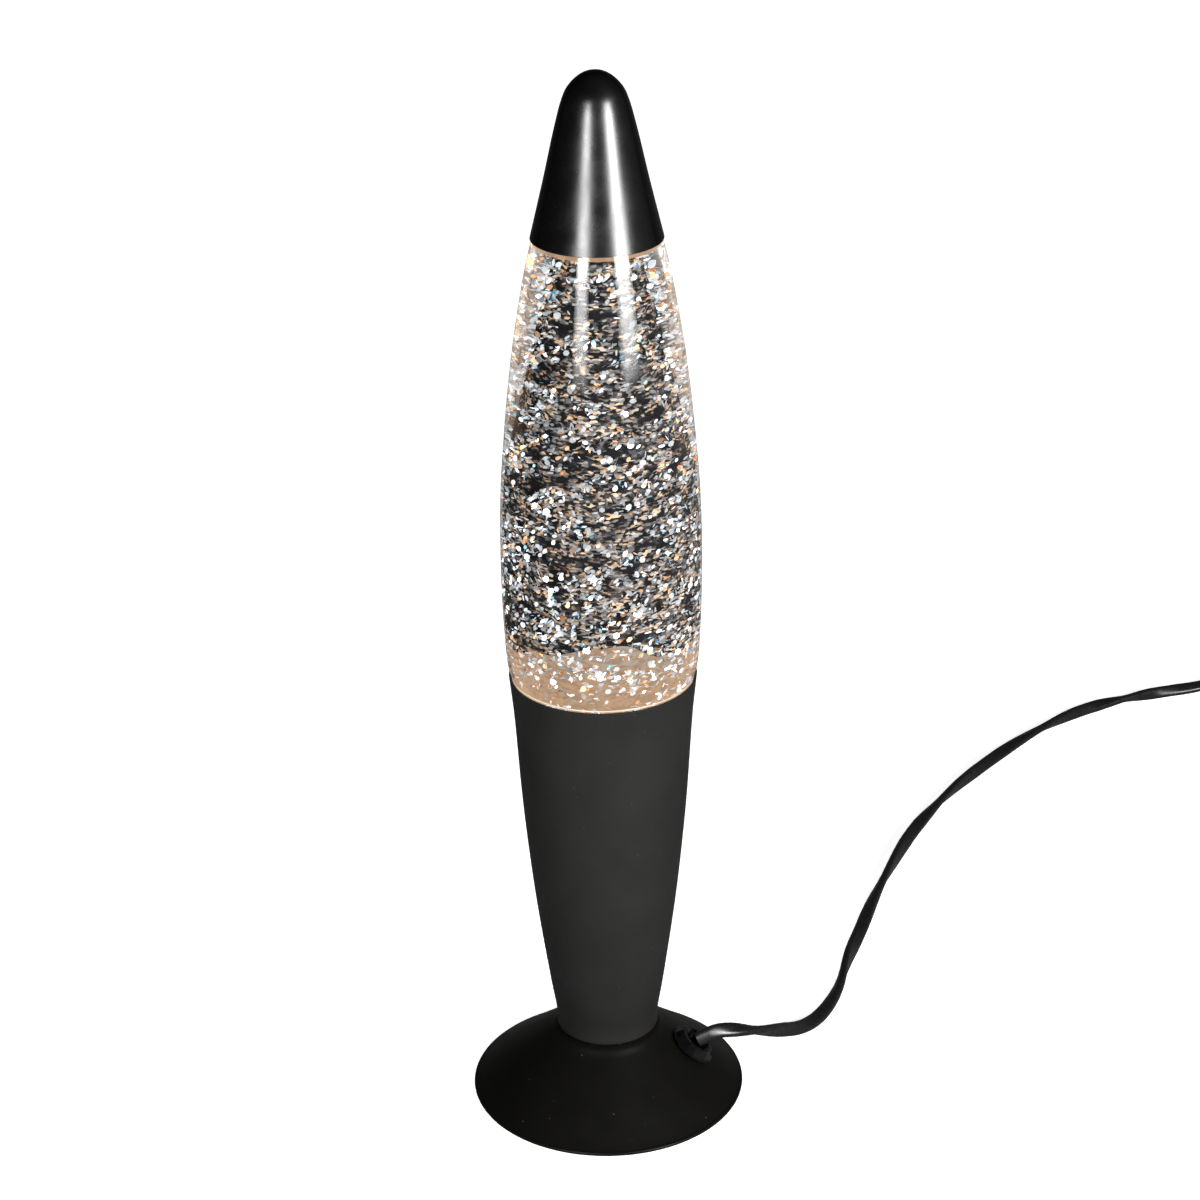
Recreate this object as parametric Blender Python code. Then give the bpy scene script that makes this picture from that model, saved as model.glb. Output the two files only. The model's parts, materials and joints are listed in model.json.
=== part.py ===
"""Glitter lamp: a foot and cup hold a glass bottle of glitter liquid over a small reflector bulb.

Outlines and routes are written in millimetres and turned into metres as the meshes are made.
+Z is up, and the origin is on the table under the middle of the foot.
"""

import math

import bmesh
import bpy
from mathutils import Matrix, Vector

MM = 0.001
GAP = 0.3  # clearance between neighbouring pieces, in millimetres

# Overall heights
FOOT_TOP = 29.5
CUP_FLOOR = FOOT_TOP + GAP
BOTTLE_BASE = 149.0
BOTTLE_LIP = 388.5
CAP_RIM = 359.4
CAP_NOSE = 420.0
LIQUID_TOP = 374.0

# Sheet and wall thicknesses
FOOT_WALL = 1.0
CUP_WALL = 0.9
CAP_WALL = 0.8
GLASS_WALL = 2.2
PUNT_HEIGHT = 1.8  # extra thickness of the bottle's base

# Outer lines, as (radius, height), from which the shells are offset
FOOT_LINE = [
    (18.5, FOOT_TOP),
    (20.8, 28.4),
    (23.4, 25.9),
    (32.0, 19.3),
    (43.0, 11.0),
    (51.5, 4.3),
    (53.9, 2.5),
]
CUP_LINE = [
    (20.2, 30.7),
    (20.4, 36.0),
    (22.6, 50.0),
    (28.0, 90.0),
    (31.9, 130.0),
    (34.5, 170.0),
    (36.0, 185.4),
]
BOTTLE_LINE = [
    (31.0, 152.0),
    (33.1, 168.0),
    (34.9, 185.6),
    (36.3, 191.0),
    (37.4, 207.0),
    (37.9, 230.0),
    (37.4, 258.0),
    (35.8, 280.0),
    (31.2, 320.0),
    (23.5, 358.8),
]
NECK_LINE = [(20.4, 365.0), (15.2, 373.0), (13.0, 379.0), (12.9, 384.6)]
CAP_LINE = [
    (24.2, CAP_RIM),
    (19.2, 380.0),
    (14.6, 400.0),
    (11.5, 410.0),
    (7.2, 417.0),
    (3.4, 419.4),
    (0.0, CAP_NOSE),
]
# Rolled edges: centre and radius of the foot's lower bead and of the cup's rim
FOOT_BEAD = (53.9, 1.7)
FOOT_BEAD_RADIUS = 0.9
RIM_BEAD = (35.65, 185.75)
RIM_BEAD_RADIUS = 0.45

# Crown cap on the bottle's lip
CROWN_SHOULDER = 388.8
CROWN_SKIRT = 383.4
CROWN_FLUTES = 21
CROWN_FLUTE_DEPTH = 0.45

# Threaded tube that clamps the cup on to the foot
TUBE_RADIUS = 4.9
TUBE_BORE = 3.6
TUBE_LOW = 21.5
TUBE_HIGH = 43.5
TUBE_HOLE = 5.3
WASHER_RADIUS = 10.0
WASHER_THICKNESS = 1.0
NUT_HALF_FLATS = 7.0
NUT_HEIGHT = 3.0

# Socket and bulb, whose own heights are above its tip contact
TERMINAL_OUT = 6.5
BULB_TIP = 61.0
THREAD_PITCH = 2.82
BULB_THREAD_RADIUS = 6.9
BULB_WALL = 0.8
BULB_LINE = [
    (7.9, 23.3),
    (8.3, 27.0),
    (11.0, 34.0),
    (16.0, 41.5),
    (19.4, 49.5),
    (18.9, 57.0),
    (14.5, 63.5),
    (7.5, 66.8),
    (0.0, 67.6),
]
FILAMENT_HALF = 6.5
FILAMENT_HEIGHT = 49.9

# Cord gland, on the slope of the foot
GLAND_RADIUS_OUT = 34.0  # distance from the lamp's axis
GLAND_AZIMUTH = -5.0  # degrees, from +X
GLAND_FLANGE_TOP = 4.4
GLAND_FACETS = 16
GLAND_HOLE = 5.4

# Flat two-core cord
CORD_RADIUS = 2.7
CORD_START = 3.6  # height of the cord's first point above the foot's surface, inside the gland's mouth
TABLE_Z = CORD_RADIUS + 0.05
SWITCH_ENTRY_Z = 7.5
PLUG_ENTRY_Z = 6.9
# Route from the gland's mouth, down on to the table and away to the inline switch
RUN_ROUTE = [
    (44.0, -0.5, 23.0),
    (54.0, 3.5, 21.0),
    (63.0, 10.5, 16.0),
    (72.0, 19.5, 10.2),
    (80.0, 28.0, 5.6),
    (87.0, 37.0, 3.3),
    (93.0, 47.0, TABLE_Z),
    (99.0, 62.0, TABLE_Z),
    (105.0, 85.0, TABLE_Z),
    (113.0, 110.0, TABLE_Z),
    (122.0, 139.0, TABLE_Z),
    (132.0, 166.0, TABLE_Z),
    (144.0, 195.0, TABLE_Z),
    (156.0, 218.0, TABLE_Z),
    (169.0, 239.0, TABLE_Z),
    (186.0, 262.0, TABLE_Z),
    (204.0, 284.0, TABLE_Z),
    (222.0, 303.0, TABLE_Z),
    (240.0, 318.0, TABLE_Z),
    (257.0, 328.5, TABLE_Z),
    (274.0, 336.0, TABLE_Z),
    (291.0, 341.5, TABLE_Z),
    (307.0, 345.5, 3.4),
    (322.0, 348.0, 5.8),
    (337.0, 349.0, SWITCH_ENTRY_Z),
    (345.0, 349.0, SWITCH_ENTRY_Z),
]
# From the switch round to the outside of the coil
LEAD_ROUTE = [
    (385.0, 349.0, SWITCH_ENTRY_Z),
    (392.0, 349.0, SWITCH_ENTRY_Z),
    (399.0, 349.0, SWITCH_ENTRY_Z),
    (408.0, 346.6, 6.5),
    (415.5, 340.5, 5.2),
    (420.0, 331.5, 4.3),
    (421.5, 320.0, 3.9),
    (419.5, 306.0, 3.8),
    (416.4, 291.0, 3.8),
    (412.5, 277.3, 3.8),
]
# From the coil to the plug
TAIL_ROUTE = [
    (361.0, 220.2, 3.8),
    (350.0, 217.5, 3.6),
    (340.5, 211.5, 3.6),
    (335.0, 202.5, 4.0),
    (333.8, 192.5, 4.6),
    (337.5, 182.5, 5.4),
    (345.5, 175.0, 6.3),
    (356.0, 172.0, PLUG_ENTRY_Z),
    (366.0, 172.0, PLUG_ENTRY_Z),
]
CORD_STEP = 13.5  # distance between the cord's points, two and a half times its width

# Coil of the put-away cord
COIL_CENTRE = (372.0, 262.0)
COIL_MIDDLE_RADIUS = 32.0
COIL_HALF_WIDTH = 8.1
COIL_LOW = 1.1
COIL_HIGH = 11.9
TIE_THICKNESS = 0.7
TIE_HALF_WIDTH = 2.5
TIE_ANGLE = 100.0

# Inline switch
SWITCH_CENTRE = (365.0, 349.0)
SWITCH_LENGTH = 62.0
SWITCH_WIDTH = 27.0
SWITCH_CORNER = 10.0
SWITCH_WALL = 1.8
SWITCH_HEIGHT = 16.2
ROCKER_PIVOT = (*SWITCH_CENTRE, 12.6)
ROCKER_TILT = 11.0  # degrees either side of level; it rests pressed down at its +X end
ROCKER_HALF_WIDTH = 4.9
SCREW_PLACES = [(-18.0, 8.2), (18.0, -8.2)]

# Plug
PLUG_START = 366.3
PLUG_Y = 172.0
PLUG_LENGTH = 36.0
PIN_HALF_SPACING = 9.3
PIN_RADIUS = 2.0
PIN_LENGTH = 19.0

# Rubber feet
RUBBER_FOOT_RADIUS = 5.0
RUBBER_FOOT_HEIGHT = 2.0
RUBBER_FOOT_OUT = 42.0
RUBBER_FOOT_COUNT = 4
BOTTOM_PLATE_THICKNESS = 1.6

# Facets round a turned piece
FINE = 40
MIDDLE = 32
COARSE = 20


def clear_scene():
    for thing in list(bpy.data.objects):
        bpy.data.objects.remove(thing, do_unlink=True)


def look(name, colour, roughness, metallic=0.0, alpha=1.0):
    """Material with one Principled shader."""
    made = bpy.data.materials.new(name)
    made.use_nodes = True
    shader = made.node_tree.nodes["Principled BSDF"]
    shader.inputs["Base Color"].default_value = (*colour, 1.0)
    shader.inputs["Roughness"].default_value = roughness
    shader.inputs["Metallic"].default_value = metallic
    shader.inputs["Alpha"].default_value = alpha
    return made


def smooth_line(points, per_span):
    """Points on a centripetal Catmull-Rom curve, per_span steps between the given ones."""
    spots = [Vector(p) for p in points]
    ends = [2 * spots[0] - spots[1], *spots, 2 * spots[-1] - spots[-2]]
    line = []
    for before, start, stop, after in zip(ends, ends[1:], ends[2:], ends[3:]):
        k = [0.0]
        for a, b in ((before, start), (start, stop), (stop, after)):
            k.append(k[-1] + math.sqrt((b - a).length))
        for step in range(per_span):
            t = k[1] + (k[2] - k[1]) * step / per_span
            first = between(before, start, t, k[0], k[1])
            second = between(start, stop, t, k[1], k[2])
            third = between(stop, after, t, k[2], k[3])
            low = between(first, second, t, k[0], k[2])
            high = between(second, third, t, k[1], k[3])
            line.append(between(low, high, t, k[1], k[2]))
    line.append(spots[-1])
    return line


def between(a, b, t, low, high):
    """The point that lies at t where a is at low and b at high."""
    return a + (b - a) * ((t - low) / (high - low))


def as_points(line):
    return [Vector(spot) for spot in line]


def offset_line(line, distance):
    """The line moved to the left of its own direction, which is inwards for one that climbs."""
    moved = []
    for i, spot in enumerate(line):
        along = (line[min(i + 1, len(line) - 1)] - line[max(i - 1, 0)]).normalized()
        moved.append(Vector((spot.x - along.y * distance, spot.y + along.x * distance)))
    return moved


def arc(centre, radius, start, stop, steps):
    """Points on an arc of a turned outline, angles in degrees from +radius towards +height."""
    spots = []
    for i in range(steps + 1):
        angle = math.radians(start + (stop - start) * i / steps)
        spots.append((centre[0] + radius * math.cos(angle), centre[1] + radius * math.sin(angle)))
    return spots


def place(mesh_data, name, material, smooth_angle=40.0, location=(0, 0, 0), turn=None):
    """Object from a finished bmesh, with location in millimetres and turn as a rotation matrix."""
    bmesh.ops.recalc_face_normals(mesh_data, faces=mesh_data.faces)
    mesh = bpy.data.meshes.new(name)
    mesh_data.to_mesh(mesh)
    mesh_data.free()
    mesh.shade_smooth()
    mesh.set_sharp_from_angle(angle=math.radians(smooth_angle))
    thing = bpy.data.objects.new(name, mesh)
    bpy.context.scene.collection.objects.link(thing)
    mesh.materials.append(material)
    thing.location = Vector(location) * MM
    if turn is not None:
        thing.rotation_euler = turn.to_euler()
    return thing


def turned(name, outline, material, facets=COARSE, reshape=None, **placing):
    """Piece spun from an outline of (radius, height) about its own Z axis.

    An outline that starts and ends on the axis makes a solid, and any other is closed into a ring.
    reshape, if given, changes a point's radius by its angle, radius and height.
    """
    data = bmesh.new()
    corners = [data.verts.new((r * MM, 0.0, z * MM)) for r, z in outline]
    on_axis = outline[0][0] < 1e-6 and outline[-1][0] < 1e-6
    chain = corners if on_axis else [*corners, corners[0]]
    edges = [data.edges.new(pair) for pair in zip(chain, chain[1:])]
    bmesh.ops.spin(
        data,
        geom=corners + edges,
        axis=(0, 0, 1),
        cent=(0, 0, 0),
        steps=facets,
        angle=2 * math.pi,
        use_merge=True,
        use_duplicate=False,
    )
    bmesh.ops.remove_doubles(data, verts=data.verts, dist=0.001 * MM)
    if reshape:
        for spot in data.verts:
            radius = math.hypot(spot.co.x, spot.co.y)
            if radius > 0.01 * MM:
                wanted = reshape(math.atan2(spot.co.y, spot.co.x), radius / MM, spot.co.z / MM) * MM
                spot.co.x *= wanted / radius
                spot.co.y *= wanted / radius
    return place(data, name, material, **placing)


def ring(name, inner, outer, low, high, material, facets=COARSE, **placing):
    outline = [(inner, low), (outer, low), (outer, high), (inner, high)]
    return turned(name, outline, material, facets, **placing)


def hexagon(angle, radius, height):
    """Radius of a nut's flats, leaving its hole round."""
    if radius < TUBE_HOLE + 0.5:
        return radius
    third = math.pi / 3
    return NUT_HALF_FLATS / math.cos(angle % third - third / 2)


def tube(name, route, radius, material, resolution=2):
    """Round bar along a route in millimetres, with flat ends."""
    curve = bpy.data.curves.new(name, "CURVE")
    curve.dimensions = "3D"
    curve.bevel_depth = radius * MM
    curve.bevel_resolution = resolution
    curve.use_fill_caps = True
    line = curve.splines.new("POLY")
    line.points.add(len(route) - 1)
    for spot, where in zip(line.points, route):
        spot.co = (*(Vector(where) * MM), 1.0)
    curve.materials.append(material)
    thing = bpy.data.objects.new(name, curve)
    bpy.context.scene.collection.objects.link(thing)
    return thing


def evenly(route, step):
    """Points a step apart on the smooth curve through a route."""
    line = smooth_line(route, 12)
    lengths = [0.0]
    for a, b in zip(line, line[1:]):
        lengths.append(lengths[-1] + (b - a).length)
    count = max(2, round(lengths[-1] / step))
    spots = []
    i = 0
    for n in range(count + 1):
        wanted = lengths[-1] * n / count
        while i < len(line) - 2 and lengths[i + 1] < wanted:
            i += 1
        spots.append(between(line[i], line[i + 1], wanted, lengths[i], lengths[i + 1]))
    return spots


def prism(name, outline, low, high, material, bevel=0.0, axis="Z", **placing):
    """Flat outline extruded from low to high along Z, or along Y from an (x, z) outline."""
    data = bmesh.new()
    if axis == "Z":
        spots = [data.verts.new((x * MM, y * MM, low * MM)) for x, y in outline]
        reach_up = Vector((0, 0, (high - low) * MM))
    else:
        spots = [data.verts.new((x * MM, low * MM, z * MM)) for x, z in outline]
        reach_up = Vector((0, (high - low) * MM, 0))
    face = data.faces.new(spots)
    grown = bmesh.ops.extrude_face_region(data, geom=[face])
    moved = [g for g in grown["geom"] if isinstance(g, bmesh.types.BMVert)]
    bmesh.ops.translate(data, verts=moved, vec=reach_up)
    if bevel:
        bmesh.ops.recalc_face_normals(data, faces=data.faces)
        sharp = [e for e in data.edges if e.calc_face_angle(0) > math.radians(50)]
        bmesh.ops.bevel(data, geom=sharp, offset=bevel * MM, segments=2, profile=0.5, affect="EDGES")
    return place(data, name, material, **placing)


def rounded_rectangle(length, width, corner, steps):
    """Outline of a rectangle with round corners, centred on the origin."""
    spots = []
    for quarter, (sx, sy) in enumerate(((1, 1), (-1, 1), (-1, -1), (1, -1))):
        middle = (sx * (length / 2 - corner), sy * (width / 2 - corner))
        spots += arc(middle, corner, 90 * quarter, 90 * quarter + 90, steps)
    return spots


def tray(name, levels, cavity_levels, material, **placing):
    """Open box from stacked outlines: up the outside by levels, down the inside by cavity_levels.

    Each level is (length, width, corner, height), and every outline has the same number of points.
    """
    data = bmesh.new()
    rings = []
    for length, width, corner, height in [*levels, *cavity_levels]:
        outline = rounded_rectangle(length, width, corner, 4)
        rings.append([data.verts.new((x * MM, y * MM, height * MM)) for x, y in outline])
    for low, high in zip(rings, rings[1:]):
        count = len(low)
        for i in range(count):
            j = (i + 1) % count
            data.faces.new((low[i], low[j], high[j], high[i]))
    data.faces.new(list(reversed(rings[0])))
    data.faces.new(rings[-1])
    return place(data, name, material, **placing)


def cutter(thing):
    """Marks an object as one that only shapes others."""
    thing.hide_render = True
    thing.display_type = "WIRE"
    return thing


def shape_with(thing, other, operation):
    change = thing.modifiers.new(other.name, "BOOLEAN")
    change.operation = operation
    change.object = other
    return thing


def pivot(name, location):
    """Empty that a moving group hangs from, on its joint's axis."""
    empty = bpy.data.objects.new(name, None)
    empty.location = Vector(location) * MM
    bpy.context.scene.collection.objects.link(empty)
    return empty


def hang(empty, *things):
    """Parents things, made about the empty, to it."""
    for thing in things:
        thing.parent = empty


def height_at(line, radius):
    """Height and outward direction of a turned surface at a radius, from its outer line."""
    for a, b in zip(line, line[1:]):
        if a.x <= radius <= b.x:
            along = (b - a).normalized()
            return between(a, b, radius, a.x, b.x).y, Vector((-along.y, along.x))
    raise ValueError("no such radius on the line")


def gland_frame():
    """Matrix of the gland, in millimetres: origin on the foot's surface, Z square to it."""
    height, outward = height_at(as_points(FOOT_LINE), GLAND_RADIUS_OUT)
    azimuth = math.radians(GLAND_AZIMUTH)
    away = Vector((math.cos(azimuth), math.sin(azimuth), 0))
    up = away * outward.x + Vector((0, 0, outward.y))
    across = Vector((0, 0, 1)).cross(away)
    down_slope = across.cross(up)
    turn = Matrix((down_slope, across, up)).transposed()
    spot = away * GLAND_RADIUS_OUT + Vector((0, 0, height))
    return Matrix.Translation(spot) @ turn.to_4x4()


def make_foot(black, plastic, rubber):
    dome = as_points(FOOT_LINE)
    bead = arc(FOOT_BEAD, FOOT_BEAD_RADIUS, 40, -180, 4)
    inner = list(reversed(offset_line(dome, -FOOT_WALL)))[1:]
    outline = [(TUBE_HOLE, FOOT_TOP), *map(tuple, dome), *bead, *map(tuple, inner)]
    outline.append((TUBE_HOLE, FOOT_TOP - FOOT_WALL))
    foot = turned("foot_shell", outline, black, FINE)
    frame = gland_frame()
    where, turn = frame.translation, frame.to_3x3()
    hole = [(0, -8), (GLAND_HOLE, -8), (GLAND_HOLE, 8), (0, 8)]
    drill = turned("gland_hole", hole, plastic, location=where, turn=turn)
    shape_with(foot, cutter(drill), "DIFFERENCE")

    plate_low = RUBBER_FOOT_HEIGHT + GAP
    plate_high = plate_low + BOTTOM_PLATE_THICKNESS
    plate = [(0, plate_low), (52.0, plate_low), (49.8, plate_high), (0, plate_high)]
    turned("bottom_plate", plate, plastic, FINE)
    pad = [(0, 0), (RUBBER_FOOT_RADIUS - 0.4, 0), (RUBBER_FOOT_RADIUS, 0.5)]
    pad += [(RUBBER_FOOT_RADIUS, RUBBER_FOOT_HEIGHT), (0, RUBBER_FOOT_HEIGHT)]
    for n in range(RUBBER_FOOT_COUNT):
        angle = math.radians(45 + 360 * n / RUBBER_FOOT_COUNT)
        spot = (RUBBER_FOOT_OUT * math.cos(angle), RUBBER_FOOT_OUT * math.sin(angle), 0)
        turned(f"rubber_foot_{n + 1}", pad, rubber, location=spot)


def make_gland(gloss, plastic):
    frame = gland_frame()
    seat = {"location": frame.translation, "turn": frame.to_3x3(), "smooth_angle": 12.0}
    lift = GAP + 0.1
    bushing = [
        (3.0, -7.0),
        (5.0, -7.0),
        (5.0, lift),
        (9.4, lift),
        (9.6, 1.2),
        (7.2, GLAND_FLANGE_TOP),
        (5.4, GLAND_FLANGE_TOP),
        (3.0, 1.8),
    ]
    turned("cord_gland", bushing, gloss, GLAND_FACETS, **seat)
    ring("gland_nut", 5.3, 8.2, -5.2, -2.0, plastic, GLAND_FACETS, **seat)


def make_clamp(steel):
    """Threaded tube with a washer and nut on each side of the joint between foot and cup."""
    ring("threaded_tube", TUBE_BORE, TUBE_RADIUS, TUBE_LOW, TUBE_HIGH, steel)
    under = FOOT_TOP - FOOT_WALL - GAP
    ring("foot_washer", TUBE_HOLE, WASHER_RADIUS, under - WASHER_THICKNESS, under, steel)
    nut = [(TUBE_HOLE, 0), (8.0, 0), (8.0, NUT_HEIGHT), (TUBE_HOLE, NUT_HEIGHT)]
    low = under - WASHER_THICKNESS - GAP - NUT_HEIGHT
    turned("foot_nut", nut, steel, COARSE, hexagon, location=(0, 0, low))
    over = CUP_FLOOR + CUP_WALL + GAP
    high = over + WASHER_THICKNESS
    ring("cup_washer", TUBE_HOLE, WASHER_RADIUS, over, high, steel)
    turned("cup_nut", nut, steel, COARSE, hexagon, location=(0, 0, high + GAP))


def make_cup(black):
    wall = as_points(CUP_LINE)
    inner = list(reversed(offset_line(wall, CUP_WALL)))
    rim = arc(RIM_BEAD, RIM_BEAD_RADIUS, 60, 120, 2)
    floor_in = CUP_FLOOR + CUP_WALL
    outline = [(TUBE_HOLE, CUP_FLOOR), (19.5, CUP_FLOOR), *map(tuple, wall), *rim]
    outline += [*map(tuple, inner[:-1])]
    outline += [(19.3, floor_in + 0.6), (18.6, floor_in), (TUBE_HOLE, floor_in)]
    turned("body_cup", outline, black, FINE)


def bottle_inside(distance):
    """The bottle's inside from the middle of its base to the neck, at a distance from its outside."""
    side = offset_line(as_points(BOTTLE_LINE + NECK_LINE), distance)
    floor_height = BOTTLE_BASE + PUNT_HEIGHT + distance
    base = [(0, floor_height), (26.7 - distance, floor_height), (30.9 - distance, floor_height + 3.0)]
    return base + [tuple(spot) for spot in side if spot.y > floor_height + 8.0]


def make_bottle(glass, liquid, tin, liner):
    heel = [(0, BOTTLE_BASE), (27.0, BOTTLE_BASE), (29.8, 149.9)]
    lip = [(13.3, 385.4), (13.3, 387.7), (12.7, BOTTLE_LIP), (11.2, BOTTLE_LIP), (10.7, 388.0)]
    inner = bottle_inside(GLASS_WALL)
    turned("bottle_glass", [*heel, *BOTTLE_LINE, *NECK_LINE, *lip, *reversed(inner)], glass, MIDDLE)
    fill = [spot for spot in bottle_inside(GLASS_WALL + GAP) if spot[1] < LIQUID_TOP - 1.0]
    turned("liquid", [*fill, (12.4, LIQUID_TOP), (0, LIQUID_TOP)], liquid, MIDDLE)

    def flutes(angle, radius, height):
        """Pressed flutes of a crown cap's skirt, deepest at its lower edge."""
        share = max(0.0, CROWN_SHOULDER - height) / (CROWN_SHOULDER - CROWN_SKIRT)
        return radius + CROWN_FLUTE_DEPTH * share * math.cos(CROWN_FLUTES * angle)

    # The crown's disc and skirt are one turned sheet, so its outline starts and ends on the axis
    sheet = [(0, 390.1), (13.3, 389.9), (14.3, 388.4), (15.0, CROWN_SKIRT + 0.1)]
    sheet += [(15.6, CROWN_SKIRT), (14.9, CROWN_SHOULDER), (13.6, 390.4), (0, 390.6)]
    turned("crown_cap", sheet, tin, 2 * CROWN_FLUTES, flutes)
    turned("crown_liner", [(0, 388.8), (13.0, 388.8), (13.0, 389.5), (0, 389.5)], liner)


def make_cap(black):
    wall = as_points(CAP_LINE)
    inner = offset_line(wall, CAP_WALL)
    inner[-1] = Vector((0.0, CAP_NOSE - CAP_WALL))
    outline = [*reversed([tuple(p) for p in inner]), (23.8, CAP_RIM - 0.25), *map(tuple, wall)]
    turned("cap_shell", outline, black, MIDDLE)


def make_socket(bakelite, ceramic, brass, steel):
    base = [(TUBE_HOLE, 36.4), (8.0, 36.4), (8.0, 39.0), (12.4, 40.6), (13.2, 43.0), (13.2, 53.0)]
    base += [(11.6, 53.0), (11.6, 46.3), (10.0, 46.3), (10.0, 43.2), (TUBE_HOLE, 43.2)]
    turned("socket_base", base, bakelite)
    insert = turned("socket_insert", [(0, 46.6), (11.2, 46.6), (11.2, 56.0), (0, 56.0)], ceramic)
    screw = [(0, 44.6), (2.2, 44.6), (2.2, 46.2), (1.1, 46.2), (1.1, 53.0), (0, 53.0)]
    hole = [(0, 45.0), (1.4, 45.0), (1.4, 58.0), (0, 58.0)]
    for n, side in enumerate((-1, 1)):
        spot = (TERMINAL_OUT * side, 0, 0)
        drill = cutter(turned(f"terminal_hole_{n + 1}", hole, ceramic, 12, location=spot))
        shape_with(insert, drill, "DIFFERENCE")
        turned(f"terminal_screw_{n + 1}", screw, steel, 12, location=spot)
    sleeve = [(11.6, 53.3), (13.2, 53.3), (13.2, 57.0), (12.2, 75.0), (8.3, 75.0), (8.3, 56.9)]
    sleeve.append((11.6, 56.9))
    turned("socket_sleeve", sleeve, bakelite)
    turned("socket_screw_shell", thread_wall(56.3, 73.0, 7.4, 0.5, 0.12), brass, 16)
    tongue = [(-5.5, 56.3), (1.0, 56.3), (3.0, 58.2), (0.5, 60.2), (-1.5, 60.7), (-1.5, 60.2)]
    tongue += [(0.2, 59.7), (2.2, 58.2), (0.8, 56.9), (-5.5, 56.9)]
    prism("socket_centre_contact", tongue, -2.0, 2.0, brass, axis="Y")


def thread_wall(low, high, inner, wall, wave):
    """Outline of a thin threaded tube, its thread drawn as even ridges of the right pitch."""
    steps = round((high - low) / THREAD_PITCH * 2)
    out, back = [], []
    for i in range(steps + 1):
        height = low + (high - low) * i / steps
        swell = wave if i % 2 else -wave
        out.append((inner + wall + swell, height))
        back.append((inner + swell, height))
    return out + back[::-1]


def make_bulb(glass, brass, solder, black_glass, tungsten):
    """Bulb built about its tip, so that heights are above the tip contact."""
    seat = pivot("bulb_seat", (0, 0, BULB_TIP))
    tip = turned("bulb_tip_contact", [(0, 0), (1.6, 0.0), (2.3, 0.7), (2.3, 1.1), (0, 1.1)], solder, 16)
    button = turned("bulb_insulator", [(0, 1.4), (3.0, 1.4), (5.6, 3.0), (0, 3.0)], black_glass)
    wall = 0.4
    grip = thread_wall(3.3, 17.4, BULB_THREAD_RADIUS - 0.15 - wall, wall, 0.15)
    half = len(grip) // 2
    skirt_out = [(7.0, 18.2), (7.9, 23.0)]
    skirt_in = [(7.9 - wall, 23.0), (7.0 - wall, 18.2)]
    cap = turned("bulb_screw_cap", [*grip[:half], *skirt_out, *skirt_in, *grip[half:]], brass, 16)
    outer = as_points(BULB_LINE)
    inner = offset_line(outer, BULB_WALL)
    inner[-1] = outer[-1] - Vector((0, BULB_WALL))
    outline = [*reversed([tuple(p) for p in inner]), *map(tuple, outer)]
    bulb = turned("bulb_glass", outline, glass, 24)
    flare = [(0, 19.0), (5.2, 19.0), (3.4, 25.0), (2.4, 38.0), (3.0, 39.0), (0, 39.0)]
    stem = turned("bulb_stem", flare, glass, 16)
    parts = [tip, button, cap, bulb, stem]
    for n, side in enumerate((-1, 1)):
        lead = [(1.6 * side, 0, 39.3), (2.2 * side, 0, 42.0), (FILAMENT_HALF * side, 0, 48.0)]
        parts.append(tube(f"bulb_lead_{n + 1}", lead, 0.35, tungsten))
    swing = []
    for share in (-1.0, -0.6, -0.2, 0.2, 0.6, 1.0):
        rise = 0.9 * math.cos(share * math.pi)
        swing.append((FILAMENT_HALF * share, 0, FILAMENT_HEIGHT + rise))
    parts.append(tube("filament", swing, 0.45, tungsten))
    hang(seat, *parts)


def make_inner_wiring(cord_black, blue, brown):
    frame = gland_frame()
    inside = [frame @ Vector((0, 0, z)) for z in (1.0, -7.5, -10.5)]
    sheath = [*inside, Vector((22.0, -1.4, 7.2)), Vector((14.0, -0.5, 7.4))]
    tube("cord_inner", sheath, 2.4, cord_black)
    for name, material, side in (("wire_live", brown, 1), ("wire_neutral", blue, -1)):
        route = [
            (13.4, 1.2 * side, 7.4),
            (8.0, 1.4 * side, 8.2),
            (3.2, 1.4 * side, 11.4),
            (0.8, 1.4 * side, 16.5),
            (0.2, 1.4 * side, 23.0),
            (0.0, 1.4 * side, 41.0),
            (0.5 * side, 1.2 * side, 43.6),
            (1.6 * side, 0.8 * side, 45.0),
            (3.8 * side, 0.0, 45.4),
        ]
        tube(name, smooth_line(route, 2), 0.7, material)


def make_cord(cord_black, tie_white):
    start = gland_frame() @ Vector((0, 0, CORD_START))
    tube("cord_run", evenly([start, *RUN_ROUTE], CORD_STEP), CORD_RADIUS, cord_black)
    tube("cord_lead", evenly(LEAD_ROUTE, CORD_STEP), CORD_RADIUS, cord_black)
    tube("cord_tail", evenly(TAIL_ROUTE, CORD_STEP), CORD_RADIUS, cord_black)
    low, high = COIL_LOW, COIL_HIGH
    inner = COIL_MIDDLE_RADIUS - COIL_HALF_WIDTH
    outer = COIL_MIDDLE_RADIUS + COIL_HALF_WIDTH
    cut = 2.0
    outline = [(inner + cut, low), (outer - cut, low), (outer, low + cut), (outer, high - cut)]
    outline += [(outer - cut, high), (inner + cut, high), (inner, high - cut), (inner, low + cut)]
    turned("cord_coil", outline, cord_black, MIDDLE, location=(*COIL_CENTRE, 0))
    make_tie(tie_white)


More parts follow.
